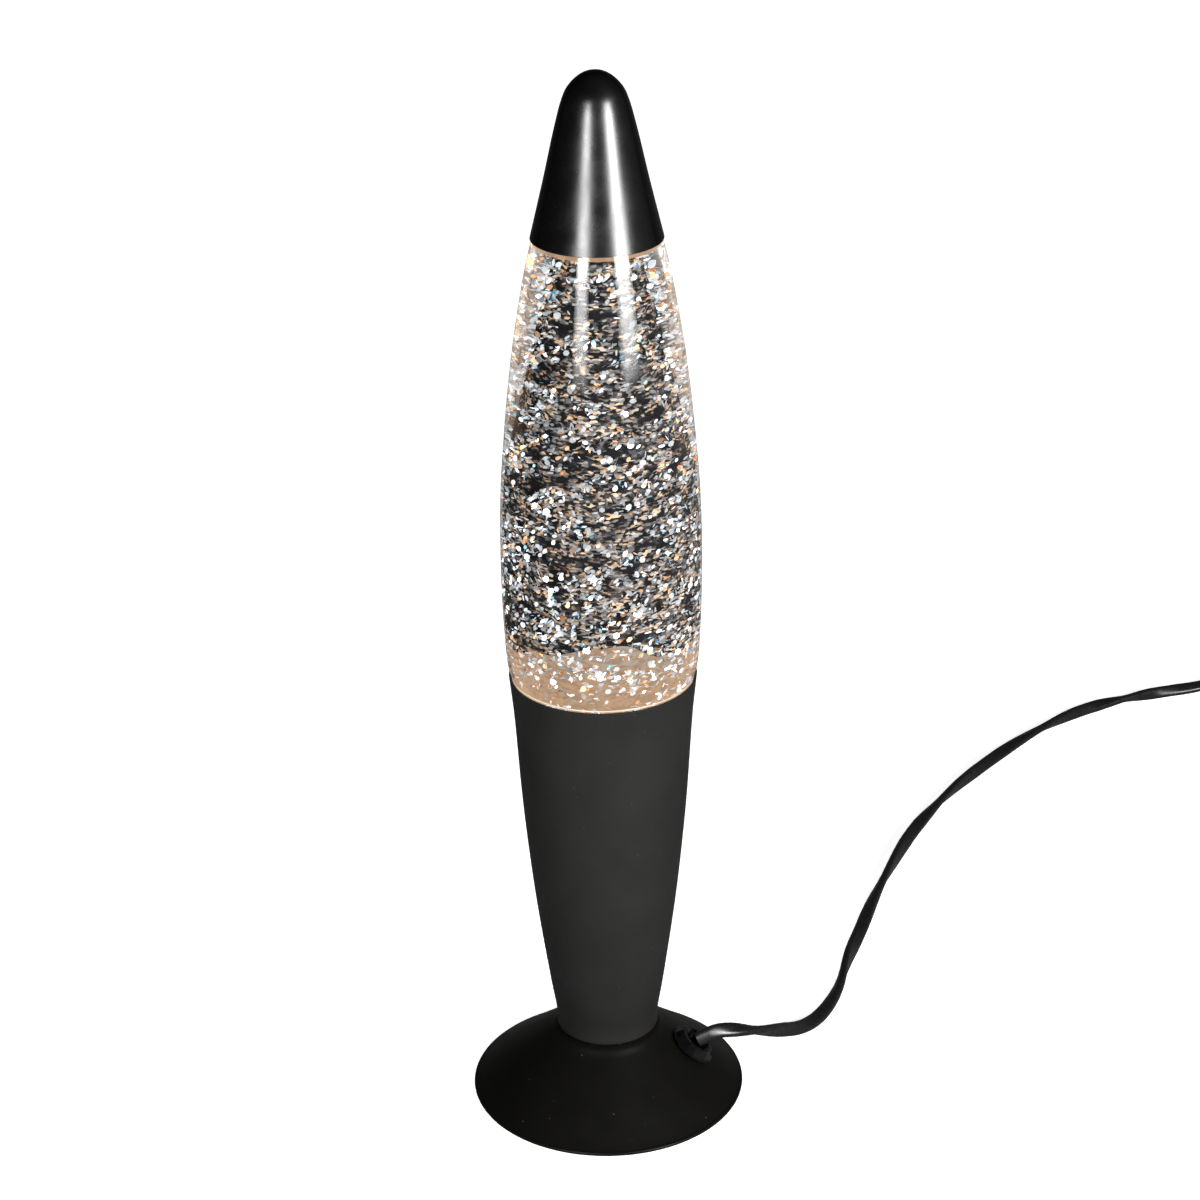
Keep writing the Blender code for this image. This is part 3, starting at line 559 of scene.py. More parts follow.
def drifting_number(tree, grain, detail, middle, vary):
    """Number that drifts with a noise by vary to each side."""
    stops = [(0.3, middle - vary), (0.7, middle + vary)]
    return ramp(tree, noise_node(tree, grain, detail).outputs["Fac"], stops)


def surface(
    name,
    colour,
    roughness,
    grain,
    depth,
    metallic=0.0,
    specular=0.5,
    patch=25.0,
    vary=0.12,
    rough_vary=0.05,
    stretch=None,
):
    """Plain finish: colour and roughness drift over patches, and a fine grain stands up by depth.

    Grain, depth and patch are in millimetres.
    """
    made, tree, shader = new_material(name)
    shader.inputs["Metallic"].default_value = metallic
    shader.inputs["Specular IOR Level"].default_value = specular
    tree.links.new(drifting_colour(tree, patch, 3.0, colour, vary), shader.inputs["Base Color"])
    wear = drifting_number(tree, patch * 0.37, 4.0, roughness, rough_vary)
    tree.links.new(wear, shader.inputs["Roughness"])
    fine = noise_node(tree, grain, 2.0, stretch)
    bump(tree, shader, fine.outputs["Fac"], depth)
    return made


def dull_edges(material, level):
    """Takes the gloss off where the surface turns away from the eye."""
    tree = material.node_tree
    facing = add(tree, "ShaderNodeLayerWeight").outputs["Facing"]
    gloss = ramp(tree, facing, [(0.2, level), (0.5, 0.05 * level)])
    tree.links.new(gloss, tree.nodes["Principled BSDF"].inputs["Specular IOR Level"])


def speckled_enamel(name, colour, roughness, specular, dust):
    """Sprayed enamel with an orange-peel surface and a few pale dust specks."""
    made, tree, shader = new_material(name)
    shader.inputs["Specular IOR Level"].default_value = specular
    base = drifting_colour(tree, 30.0, 4.0, colour, 0.15)
    where = add(tree, "ShaderNodeTexCoord").outputs["Object"]
    specks = add(tree, "ShaderNodeTexVoronoi", scale=1.0 / (SPECKS_APART * MM))
    tree.links.new(where, specks.inputs["Vector"])
    dot = ramp(tree, specks.outputs["Distance"], [(0.05, 1.0), (0.10, 0.0)])
    some = ramp(tree, specks.outputs["Color"], [(0.80, 0.0), (0.86, dust)])
    mixed = add(tree, "ShaderNodeMix", data_type="RGBA")
    tree.links.new(product(tree, dot, some), mixed.inputs[0])
    tree.links.new(base, mixed.inputs[MIX_FROM])
    mixed.inputs[MIX_TO].default_value = (*DUST_COLOUR, 1.0)
    tree.links.new(mixed.outputs[MIX_RESULT], shader.inputs["Base Color"])
    tree.links.new(drifting_number(tree, 11.0, 4.0, roughness, 0.04), shader.inputs["Roughness"])
    peel = noise_node(tree, 0.9, 2.0)
    first = bump(tree, shader, peel.outputs["Fac"], 0.012)
    grain = noise_node(tree, 0.25, 1.0)
    bump(tree, shader, grain.outputs["Fac"], 0.006, first)
    return made


def clear_glass(name, ior, tint, wave):
    """Glass with faint moulding waves."""
    made, tree, shader = new_material(name)
    shader.inputs["Base Color"].default_value = (*tint, 1.0)
    shader.inputs["Transmission Weight"].default_value = 1.0
    shader.inputs["Roughness"].default_value = 0.0
    shader.inputs["IOR"].default_value = ior
    swell = noise_node(tree, 26.0, 1.0, (1.0, 1.0, 0.35))
    bump(tree, shader, swell.outputs["Fac"], wave)
    return made


def height_share(tree, low, high):
    """0 at the low height and 1 at the high one, both in millimetres."""
    split = add(tree, "ShaderNodeSeparateXYZ")
    tree.links.new(add(tree, "ShaderNodeTexCoord").outputs["Object"], split.inputs[0])
    share = add(tree, "ShaderNodeMapRange", from_min=low * MM, from_max=high * MM)
    tree.links.new(split.outputs["Z"], share.inputs["Value"])
    return share.outputs["Result"]


def add_edge_light(glass, colour, low, high):
    """Sheen of the bulb's light caught in the glass wall, near the cup at low and the cap at high."""
    tree = glass.node_tree
    shader = tree.nodes["Principled BSDF"]
    where = ramp(tree, height_share(tree, low, high), [(0.0, 0.7), (0.14, 0.0), (0.5, 0.0), (0.85, 1.0)])
    facing = add(tree, "ShaderNodeLayerWeight").outputs["Facing"]
    grazing = ramp(tree, facing, [(0.35, 0.0), (0.62, 1.0)])
    tree.links.new(product(tree, where, grazing), shader.inputs["Emission Strength"])
    shader.inputs["Emission Color"].default_value = (*colour, 1.0)


def foil(name, stops, roughness, painted_glint_stops):
    """Metal foil flakes: each flake has its own shade, and its emission colour is painted light reflected off it, with
    a painted flash on a few of them.
    """
    made, tree, shader = new_material(name)
    shader.inputs["Metallic"].default_value = 1.0
    shader.inputs["Roughness"].default_value = roughness
    one = add(tree, "ShaderNodeNewGeometry").outputs["Random Per Island"]
    tree.links.new(ramp(tree, one, stops), shader.inputs["Base Color"])
    # Emission per flake is painted reflected light; the ramp's brightest stops paint flashes
    tree.links.new(ramp(tree, one, painted_glint_stops), shader.inputs["Emission Color"])
    shader.inputs["Emission Strength"].default_value = 1.0
    return made


def deep_liquid(name):
    """The dark heart of the liquid, with flakes glimmering in it."""
    made, tree, shader = new_material(name)
    shader.inputs["Roughness"].default_value = 0.6
    shader.inputs["Specular IOR Level"].default_value = 0.0
    where = add(tree, "ShaderNodeTexCoord").outputs["Object"]
    sized = add(tree, "ShaderNodeMapping")
    sized.inputs["Scale"].default_value = (1.0, 1.0, 1.9)
    tree.links.new(where, sized.inputs["Vector"])
    cells = add(tree, "ShaderNodeTexVoronoi", scale=1.0 / (GLIMMER_SIZE * MM))
    tree.links.new(sized.outputs["Vector"], cells.inputs["Vector"])
    shades = [
        (0.35, 0.006),
        (0.55, (0.05, 0.05, 0.055)),
        (0.72, (0.22, 0.21, 0.2)),
        # Amber shade: painted bulb light on some of the deeper flakes
        (0.85, (0.45, 0.3, 0.18)),
    ]
    shade = ramp(tree, cells.outputs["Color"], shades)
    cloud = noise_node(tree, 9.0, 4.0, (1.0, 1.0, 2.4))
    there = ramp(tree, cloud.outputs["Fac"], [(0.4, 0.0), (0.56, 1.0)])
    mixed = add(tree, "ShaderNodeMix", data_type="RGBA")
    tree.links.new(there, mixed.inputs[0])
    mixed.inputs[MIX_FROM].default_value = (*DARK_LIQUID, 1.0)
    tree.links.new(shade, mixed.inputs[MIX_TO])
    tree.links.new(mixed.outputs[MIX_RESULT], shader.inputs["Base Color"])
    return made


def lit_liquid(name, low, high):
    """Liquid lit amber by the bulb, in streaks and paler patches. Heights in millimetres."""
    made, tree, shader = new_material(name)
    shader.inputs["Roughness"].default_value = 0.6
    shader.inputs["Specular IOR Level"].default_value = 0.0
    swirl = noise_node(tree, 6.0, 4.0, (1.0, 1.0, 2.6))
    streak = ramp(tree, swirl.outputs["Fac"], [(0.36, 0.0), (0.64, 1.0)])
    mixed = add(tree, "ShaderNodeMath", operation="MULTIPLY_ADD")
    tree.links.new(streak, mixed.inputs[0])
    mixed.inputs[1].default_value = 0.45
    tree.links.new(height_share(tree, low, high), mixed.inputs[2])
    shades = [
        (0.10, (0.62, 0.4, 0.235)),
        (0.35, (0.38, 0.255, 0.165)),
        (0.62, (0.53, 0.345, 0.215)),
        (0.85, (0.33, 0.225, 0.15)),
        (1.0, (0.43, 0.37, 0.31)),
    ]
    tree.links.new(ramp(tree, mixed.outputs[0], shades), shader.inputs["Emission Color"])
    shader.inputs["Emission Strength"].default_value = 1.0
    shader.inputs["Base Color"].default_value = (0.02, 0.012, 0.008, 1.0)
    return made


def glowing_wire(name, strength):
    made, tree, shader = new_material(name)
    marks = noise_node(tree, 0.4, 1.0)
    heat = ramp(tree, marks.outputs["Fac"], [(0.3, (0.8, 0.3, 0.08)), (0.7, (1.0, 0.55, 0.22))])
    tree.links.new(heat, shader.inputs["Emission Color"])
    shader.inputs["Emission Strength"].default_value = strength
    return made


foot_black = speckled_enamel("foot_black_enamel", (0.0028, 0.0027, 0.0024), 0.4, 0.1, 0.4)
cap_black = surface("cap_black_enamel", (0.0012, 0.0012, 0.0013), 0.27, 0.6, 0.006, specular=0.6, vary=0.1)
dull_edges(cap_black, 0.6)
cup_black = speckled_enamel("cup_black_enamel", (0.0078, 0.0078, 0.0075), 0.6, 0.22, 0.2)
inside_black = surface("inside_black", (0.012, 0.011, 0.01), 0.7, 0.5, 0.02)
gland_black = surface(
    "gland_black_gloss",
    (0.0015, 0.0015, 0.0018),
    0.09,
    2.6,
    0.14,
    specular=0.6,
    vary=0.2,
    rough_vary=0.03,
)
moulded_black = surface("moulded_black", (0.012, 0.012, 0.012), 0.5, 0.35, 0.03)
switch_black = surface("switch_black", (0.013, 0.013, 0.013), 0.48, 0.3, 0.045)
rocker_black = surface("rocker_black", (0.009, 0.009, 0.009), 0.22, 1.2, 0.006)
plug_black = surface("plug_black", (0.012, 0.012, 0.012), 0.46, 0.3, 0.04)
cord_black = surface(
    "cord_black", (0.006, 0.006, 0.0062), 0.28, 1.6, 0.02, specular=0.36, patch=12.0, rough_vary=0.07
)
rubber = surface("rubber_black", (0.018, 0.018, 0.018), 0.85, 0.4, 0.05)
zinc = surface("zinc_steel", (0.58, 0.58, 0.56), 0.3, 0.5, 0.01, metallic=1.0, patch=5.0, rough_vary=0.1)
brass = surface("brass", (0.72, 0.5, 0.2), 0.25, 0.6, 0.01, metallic=1.0, patch=6.0, rough_vary=0.08)
nickel = surface("nickel_brass", (0.62, 0.58, 0.5), 0.2, 0.6, 0.01, metallic=1.0, patch=6.0)
pin_nickel = surface(
    "pin_nickel", (0.66, 0.64, 0.58), 0.22, 0.35, 0.01, metallic=1.0, patch=5.0, stretch=(0.12, 1.0, 1.0)
)
tinplate = surface("tinplate", (0.7, 0.69, 0.66), 0.24, 0.4, 0.008, metallic=1.0, patch=4.0, rough_vary=0.1)
solder = surface("solder", (0.55, 0.55, 0.56), 0.35, 0.7, 0.03, metallic=1.0, patch=2.0)
ceramic = surface("ceramic_white", (0.76, 0.74, 0.7), 0.3, 0.6, 0.02, patch=6.0, vary=0.05)
bakelite = surface("bakelite_brown", (0.028, 0.018, 0.014), 0.28, 0.8, 0.015, patch=4.0, vary=0.3)
black_glass = surface("black_glass", (0.01, 0.01, 0.016), 0.12, 1.0, 0.006, patch=3.0)
liner_grey = surface("liner_grey", (0.55, 0.55, 0.53), 0.6, 0.3, 0.03)
wire_blue = surface("wire_blue", (0.02, 0.09, 0.42), 0.4, 0.5, 0.01)
wire_brown = surface("wire_brown", (0.13, 0.05, 0.02), 0.4, 0.5, 0.01)
tie_white = surface("tie_white", (0.72, 0.72, 0.7), 0.45, 0.35, 0.02)
tungsten = surface("tungsten", (0.3, 0.3, 0.32), 0.4, 0.2, 0.01, metallic=1.0)
bottle_outer = clear_glass("bottle_glass_outer", 1.5, (0.99, 0.985, 0.975), 0.02)
bottle_wet = clear_glass("bottle_glass_wet", 1.12, (1.0, 0.985, 0.96), 0.03)
add_edge_light(bottle_outer, (0.23, 0.155, 0.1), 186.0, 362.0)
bulb_clear = clear_glass("bulb_glass", 1.45, (1.0, 0.93, 0.8), 0.02)
silver_foil = foil(
    "foil_silver",
    [
        (0.0, (0.11, 0.115, 0.12)),
        (0.35, (0.3, 0.315, 0.33)),
        (0.7, (0.5, 0.53, 0.56)),
        (1.0, (0.64, 0.67, 0.7)),
    ],
    0.44,
    # Painted reflected light on the silver flakes, and painted flashes on the brightest few
    [
        (0.0, (0.1, 0.105, 0.11)),
        (0.3, (0.27, 0.285, 0.3)),
        (0.66, (0.42, 0.45, 0.48)),
        (0.9, (0.64, 0.72, 0.82)),
        (0.975, (1.8, 2.0, 2.2)),
    ],
)
# Amber copy of the foil for flakes in the bulb's warm light: its colour and glow are painted bulb light
bulb_lit_foil = foil(
    "foil_painted_bulb_light",
    [(0.0, (0.35, 0.15, 0.07)), (0.5, (0.8, 0.42, 0.2)), (1.0, (1.0, 0.72, 0.45))],
    0.25,
    [(0.0, (0.12, 0.07, 0.04)), (0.45, (0.36, 0.22, 0.125)), (0.95, (0.95, 0.62, 0.38))],
)
spark_foil = foil(
    "foil_spark",
    [(0.0, (0.1, 0.5, 0.75)), (0.5, (0.3, 0.75, 0.8)), (0.7, (0.4, 0.35, 0.85)), (1.0, (0.6, 0.9, 0.7))],
    0.2,
    # Painted glints on the coloured flakes
    [(0.0, (0.02, 0.12, 0.2)), (0.7, (0.1, 0.35, 0.5)), (0.95, (0.4, 0.8, 0.9))],
)
# Painted glow: the bulb's light leaking out between the cup and the glass, painted as emission on a thin ring of the
# glass
painted_seat_glow = surface("glass_painted_seat_glow", (0.2, 0.18, 0.16), 0.35, 0.8, 0.01, patch=9.0, vary=0.3)
seat_glow_shader = painted_seat_glow.node_tree.nodes["Principled BSDF"]
seat_glow_shader.inputs["Emission Color"].default_value = (0.62, 0.5, 0.38, 1.0)
seat_glow_shader.inputs["Emission Strength"].default_value = 1.0
core_dark = deep_liquid("liquid_depth")
core_lit = lit_liquid("liquid_lit", 172.0, 222.0)
core_neck = lit_liquid("liquid_neck", 350.0, LIQUID_TOP)
glow = glowing_wire("filament_glow", 12.0)

# ---------------------------------------------------------------- camera

CAMERA_PLACE = (-0.00073, -0.98984, 0.67064)
CAMERA_PITCH = 24.652  # degrees down from level
CAMERA_ROLL = -0.805
CAMERA_LENS = 86.286
sight = bpy.data.cameras.new("camera")
sight.lens = CAMERA_LENS
sight.sensor_width = 36.0
sight.clip_start = 0.05
sight.clip_end = 30.0
camera = bpy.data.objects.new("camera", sight)
bpy.context.scene.collection.objects.link(camera)
camera.matrix_world = (
    Matrix.Translation(CAMERA_PLACE)
    @ Matrix.Rotation(math.radians(90 - CAMERA_PITCH), 4, "X")
    @ Matrix.Rotation(math.radians(CAMERA_ROLL), 4, "Z")
)
bpy.context.scene.camera = camera

# ---------------------------------------------------------------- cord


def gland_frame():
    """Matrix of the gland, in millimetres: origin on the foot's surface, Z square to it."""
    line = [Vector(p) for p in FOOT_LINE]
    for a, b in zip(line, line[1:]):
        if a.x <= GLAND_RADIUS_OUT <= b.x:
            along = (b - a).normalized()
            height = between(a, b, GLAND_RADIUS_OUT, a.x, b.x).y
            outward = Vector((-along.y, along.x))
    azimuth = math.radians(GLAND_AZIMUTH)
    away = Vector((math.cos(azimuth), math.sin(azimuth), 0))
    up = away * outward.x + Vector((0, 0, outward.y))
    across = Vector((0, 0, 1)).cross(away)
    turn = Matrix((across.cross(up), across, up)).transposed()
    return Matrix.Translation(away * GLAND_RADIUS_OUT + Vector((0, 0, height))) @ turn.to_4x4()


def nearness_to_tie(angle):
    """1 at the tie and 0 well away from it, for an angle round the coil in degrees."""
    apart = (angle - TIE_ANGLE + 180.0) % 360.0 - 180.0
    return math.exp(-((apart / TIE_REACH) ** 2))


def squeeze_at(spot, coiled):
    """Share of its width that the cord keeps, which is less inside the tie."""
    if not coiled:
        return 1.0
    angle = math.degrees(math.atan2(spot.y - COIL_CENTRE[1], spot.x - COIL_CENTRE[0]))
    return 1.0 - TIE_SQUEEZE * nearness_to_tie(angle)


def coil_route():
    """The coil's turns, clockwise from +X: two layers, in towards the middle and out again."""
    spots = []
    inward = (COIL_OUTER_TURN - COIL_INNER_TURN) / 2
    for i in range(round(COIL_TURNS * COIL_TURN_POINTS) + 1):
        turn = i / COIL_TURN_POINTS
        angle = -360.0 * turn
        if turn < 2:
            radius = COIL_OUTER_TURN - inward * turn
            layer = 0.0
        elif turn < 3:
            radius = COIL_INNER_TURN
            share = turn - 2
            layer = share * share * (3 - 2 * share)
        else:
            radius = min(COIL_OUTER_TURN, COIL_INNER_TURN + inward * (turn - 3))
            layer = 1.0
        near = nearness_to_tie(angle)
        height = COIL_LOW + TIE_LIFT * near + (COIL_LAYER - TIE_PRESS * near) * layer
        x = COIL_CENTRE[0] + radius * math.cos(math.radians(angle))
        y = COIL_CENTRE[1] + radius * math.sin(math.radians(angle))
        spots.append((x, y, height))
    return spots


def cord_line():
    """The cord's centreline from the gland's mouth to the plug, as free run, coil and tail."""
    start = gland_frame() @ Vector((0, 0, CORD_START))
    free = smooth_line([start, *RUN_ROUTE, *SWITCH_ROUTE, *LEAD_ROUTE, coil_route()[2]], 6)[:-1]
    turns = coil_route()[2:]
    away = smooth_line([turns[-1], *TAIL_ROUTE], 6)[1:]
    return free, [Vector(p) for p in turns], away


def resampled(line, step):
    """The line with points an even step apart."""
    lengths = [0.0]
    for a, b in zip(line, line[1:]):
        lengths.append(lengths[-1] + (b - a).length)
    count = max(2, round(lengths[-1] / step))
    spots = []
    i = 0
    for n in range(count + 1):
        wanted = lengths[-1] * n / count
        while i < len(line) - 2 and lengths[i + 1] < wanted:
            i += 1
        spots.append(between(line[i], line[i + 1], wanted, lengths[i], lengths[i + 1]))
    return spots


def twist_at(distance, coil_end):
    """Turn of the cord's flat side from level, in degrees."""
    if distance < TWISTS[-1][0]:
        return float(np.interp(distance, *zip(*TWISTS)))
    return COIL_TWIST * (1 - min(1.0, max(0.0, (distance - coil_end) / UNTWIST_LENGTH)))


def length_of(line):
    return sum((b - a).length for a, b in zip(line, line[1:]))


def make_cord():
    """The twisted cord, and its centreline in metres."""
    free, turns, away = cord_line()
    coil_start = length_of(free)
    coil_end = coil_start + length_of(turns)
    line = resampled([*free, *turns, *away], CORD_STEP)
    data = bmesh.new()
    rows = []
    distance = 0.0
    for i, spot in enumerate(line):
        if i:
            distance += (spot - line[i - 1]).length
        along = (line[min(i + 1, len(line) - 1)] - line[max(i - 1, 0)]).normalized()
        level = along.cross(Vector((0, 0, 1))).normalized()
        up = level.cross(along)
        turn = math.radians(twist_at(distance, coil_end))
        wide = (level * math.cos(turn) + up * math.sin(turn)) * squeeze_at(spot, distance > coil_start)
        thin = up * math.cos(turn) - level * math.sin(turn)
        row = []
        for k in range(CORD_SIDES):
            angle = 2 * math.pi * k / CORD_SIDES
            c, s = math.cos(angle), math.sin(angle)
            out = CORD_WIDTH / 2 * math.copysign(abs(c) ** SIDE_POWER, c)
            high = CORD_THICKNESS / 2 * math.copysign(abs(s) ** FACE_POWER, s)
            row.append(data.verts.new((spot + wide * out + thin * high) * MM))
        rows.append(row)
    for low, high in zip(rows, rows[1:]):
        for k in range(CORD_SIDES):
            j = (k + 1) % CORD_SIDES
            data.faces.new((low[k], low[j], high[j], high[k]))
    data.faces.new(list(reversed(rows[0])))
    data.faces.new(rows[-1])
    bmesh.ops.recalc_face_normals(data, faces=data.faces)
    cord = finish_mesh(data, "cord", [cord_black], 60.0)
    return cord, [tuple(p * MM) for p in line]


ON_CORD = [
    "cord_tie",
    "switch_bottom",
    "switch_top",
    "switch_rocker",
    "switch_screw_1",
    "switch_screw_2",
    "switch_contact_in",
    "switch_contact_out",
    "switch_through_wire",
    "plug_body",
    "plug_pin_1",
    "plug_pin_2",
]
cord, cord_path = make_cord()
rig.ride(cord, "root")
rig.replaces(cord, "cord_run", "cord_lead", "cord_coil", "cord_tail")
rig.slot(cord, "cord_black")
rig.cord(
    cord,
    exit=cord_path[0],
    length=CORD_LENGTH,
    diameter=CORD_WIDTH * MM,
    far_end="plug",
    stiffness="medium",
    lay="coiled",
    path=cord_path,
    with_pieces=ON_CORD,
)

# ---------------------------------------------------------------- shells


def gland_seat():
    """The gland's matrix, in metres."""
    seat = gland_frame()
    seat.translation *= MM
    return seat


def make_foot():
    dome = smooth_line(FOOT_LINE)
    bead = arc(FOOT_BEAD, FOOT_BEAD_RADIUS, 40, -180, 14)
    inner = list(reversed(offset_line(dome, -FOOT_WALL)))[2:]
    outline = [(TUBE_HOLE, FOOT_TOP), *map(tuple, dome), *bead, *map(tuple, inner)]
    outline.append((TUBE_HOLE, FOOT_TOP - FOOT_WALL))
    foot = turned("foot", outline, [foot_black])
    hole = [(0, -GLAND_REACH), (GLAND_HOLE, -GLAND_REACH), (GLAND_HOLE, GLAND_REACH), (0, GLAND_REACH)]
    cut = turned("gland_cut", hole, [foot_black], 48, matrix=gland_seat())
    drilled(foot, cut)
    smooth_out(foot.data)
    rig.ride(foot, "root")
    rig.replaces(foot, "foot_shell")
    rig.slot(foot, "foot_black")


def make_cup():
    wall = smooth_line(CUP_LINE)
    inner = list(reversed(offset_line(wall, CUP_WALL)))[1:]
    rim = arc(RIM_BEAD, RIM_BEAD_RADIUS, 20, 170, 8)
    floor_in = CUP_FLOOR + CUP_WALL
    corner = arc(CUP_CORNER, CUP_CORNER_RADIUS, -90, -4, 5)
    outline = [(TUBE_HOLE, CUP_FLOOR), *corner, *map(tuple, wall), *rim]
    outside = len(outline) - 1
    outline += [*map(tuple, inner[:-3]), (CUP_CORNER[0], floor_in + 0.6), (18.6, floor_in)]
    outline.append((TUBE_HOLE, floor_in))
    cup = turned("cup", outline, [cup_black, inside_black], slot_of=lambda step: int(step > outside))
    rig.ride(cup, "root")
    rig.replaces(cup, "body_cup")
    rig.slot(cup, "cup_black")


def make_cap():
    wall = smooth_line(CAP_LINE)
    inner = offset_line(wall, CAP_WALL)
    inner[-1] = Vector((0.0, CAP_NOSE - CAP_WALL))
    inner = [p for p in inner if p.x >= 0.0]
    outline = [*reversed([tuple(p) for p in inner]), CAP_EDGE, *map(tuple, wall)]
    inside = len(inner) - 1
    cap = turned("cap", outline, [cap_black, inside_black], slot_of=lambda step: int(step < inside))
    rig.ride(cap, "cap")
    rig.replaces(cap, "cap_shell")
    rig.slot(cap, "cap_black")


def make_gland():
    """Faceted round bushing with a thin flange and a dark funnel mouth."""
    gland = turned("gland", GLAND_LINE, [gland_black], GLAND_FACETS, matrix=gland_seat(), smooth_angle=10.0)
    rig.ride(gland, "root")
    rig.replaces(gland, "cord_gland")
    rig.slot(gland, "gland_black")


make_foot()
make_cup()
make_cap()
make_gland()

# ---------------------------------------------------------------- bottle

FLOOR_HEIGHT = BOTTLE_BASE + PUNT_HEIGHT + GLASS_WALL
SIDE = smooth_line(BOTTLE_LINE + NECK_LINE)
INNER_SIDE = offset_line(SIDE, GLASS_WALL)


def inner_radius(height):
    """Inside radius of the glass at a height, in millimetres."""
    for a, b in zip(INNER_SIDE, INNER_SIDE[1:]):
        if a.y <= height <= b.y:
            return between(a, b, height, a.y, b.y).x
    return INNER_SIDE[0].x if height < INNER_SIDE[0].y else INNER_SIDE[-1].x


SEAT_LOW = 186.2  # light from the bulb leaves the glass in a thin line where the cup ends
SEAT_HIGH = 186.9


def make_bottle():
    heel = [(0, BOTTLE_BASE + 0.8), (20.0, BOTTLE_BASE + 0.5), (24.0, BOTTLE_BASE), (27.0, BOTTLE_BASE)]
    heel += [(29.2, 149.6), (30.5, 150.7)]
    lip = arc(LIP_BEAD, LIP_BEAD_RADIUS, -35, 130, 10)
    outside = [*heel, *map(tuple, SIDE), *lip]
    side_in = [tuple(p) for p in INNER_SIDE if p.y > FLOOR_HEIGHT + 8.0]
    inside = [*reversed(side_in), (28.7, FLOOR_HEIGHT + 3.0), (27.2, FLOOR_HEIGHT + 1.0)]
    inside += [(24.5, FLOOR_HEIGHT), (0, FLOOR_HEIGHT)]
    outline = [*outside, *inside]

    def slot_of(step):
        if step < len(outside):
            return 2 if SEAT_LOW <= outline[step][1] < SEAT_HIGH else 0
        return int(outline[step][1] < LIQUID_TOP)

    bottle = turned("bottle", outline, [bottle_outer, bottle_wet, painted_seat_glow], slot_of=slot_of)
    bottle.visible_shadow = False
    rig.ride(bottle, "bottle")
    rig.replaces(bottle, "bottle_glass")
    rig.slot(bottle, "bottle_glass")


LIT_TOP = 204.6  # middle height of the boundary where the lit liquid ends
LAYER = 9.0  # depth of the layer of flakes
CORE_SHARE = 0.52  # the core is at least this share of the inside radius
WAVE_REACH = 22.0  # the boundary's waves die away over this height
# Waves of the boundary, as (waves round the bottle, height in millimetres, shift in radians)
WAVES = [(2, 5.4, -math.pi / 2), (5, 1.1, 2.1), (9, 0.6, 0.0)]
CLEAR_FROM = 268.0  # above this the flakes draw away from the glass
CLEAR_SPAN = 44.0
CLEAR_DEPTH = 6.6  # how far they draw away
CLEAR_CORE = 2.5  # how much the core shrinks there
NECK_LOW = 356.7  # above this the liquid glows with the light caught under its surface


def clear_share(height):
    """0 up to CLEAR_FROM, and 1 near the neck."""
    return min(1.0, max(0.0, (height - CLEAR_FROM) / CLEAR_SPAN))


def core_radius(height):
    inner = inner_radius(height)
    return max(inner - LAYER - CLEAR_CORE * clear_share(height), inner * CORE_SHARE)


def neck_radius(height):
    return inner_radius(height) - 0.7


def swell_boundary(thing):
    """Bends the level where the lit liquid ends into slow waves."""
    for vertex in thing.data.vertices:
        angle = math.atan2(vertex.co.y, vertex.co.x)
        wave = sum(height * math.sin(count * angle + shift) for count, height, shift in WAVES)
        share = max(0.0, 1 - abs(vertex.co.z / MM - LIT_TOP) / WAVE_REACH)
        vertex.co.z += wave * share * MM


def core_part(name, material, low, high, steps, radius_at):
    """Part of the core from one height to another, in millimetres."""
    heights = [low + (high - low) * i / steps for i in range(steps + 1)]
    outline = [(0, heights[0]), *[(radius_at(z), z) for z in heights], (0, heights[-1])]
    return turned(name, outline, [material], 96)


def make_core():
    """Depth of the liquid behind the outer layer of flakes: dark, and lit by the bulb at both ends."""
    lit = core_part("liquid_lit", core_lit, FLOOR_HEIGHT + 1.0, LIT_TOP, 16, core_radius)
    dark = core_part("liquid_depth", core_dark, LIT_TOP + 0.05, NECK_LOW + 0.05, 60, core_radius)
    swell_boundary(lit)
    swell_boundary(dark)
    neck = core_part("liquid_neck", core_neck, NECK_LOW + 0.1, LIQUID_TOP - 1.0, 12, neck_radius)
    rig.replaces(dark, "liquid")
    for thing in (lit, dark, neck):
        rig.ride(thing, "bottle")
        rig.slot(thing, "glitter_liquid")


FLAKE_CORNERS = 6
FLAKE_NARROWEST = 0.45  # width of the narrowest flakes over their length
SWIRL_WIDTH = 11.0
SWIRL_FLATNESS = 2.6
CROWDED_RADIUS = 36.0  # flakes thin out where the bottle is narrower than this
LEVEL_SHARE = 0.55  # share of the flakes that lie near level
LEVEL_SPREAD = 28.0  # degrees


def flake_place(random, lit_share):
    """Random place for a flake, in millimetres, or None where the liquid is left clear."""
    if random.random() < lit_share:
        height = random.uniform(FLOOR_HEIGHT + 4.0, LIT_TOP)
    else:
        height = random.uniform(LIT_TOP - 6.0, LIQUID_TOP - 10.0)
    inner = inner_radius(height) - 1.0 - CLEAR_DEPTH * clear_share(height)
    core = core_radius(height) + 0.8
    radius = math.sqrt(random.uniform(core * core, inner * inner))
    azimuth = random.uniform(-math.pi, math.pi)
    if random.random() > inner / CROWDED_RADIUS:
        return None
    place = Vector((radius * math.cos(azimuth), radius * math.sin(azimuth), height))
    in_swirl = Vector((place.x, place.y, place.z * SWIRL_FLATNESS)) / SWIRL_WIDTH
    if noise.fractal(in_swirl, 1.0, 2.0, 3) + 0.06 < random.uniform(-0.04, 0.12):
        return None
    return place


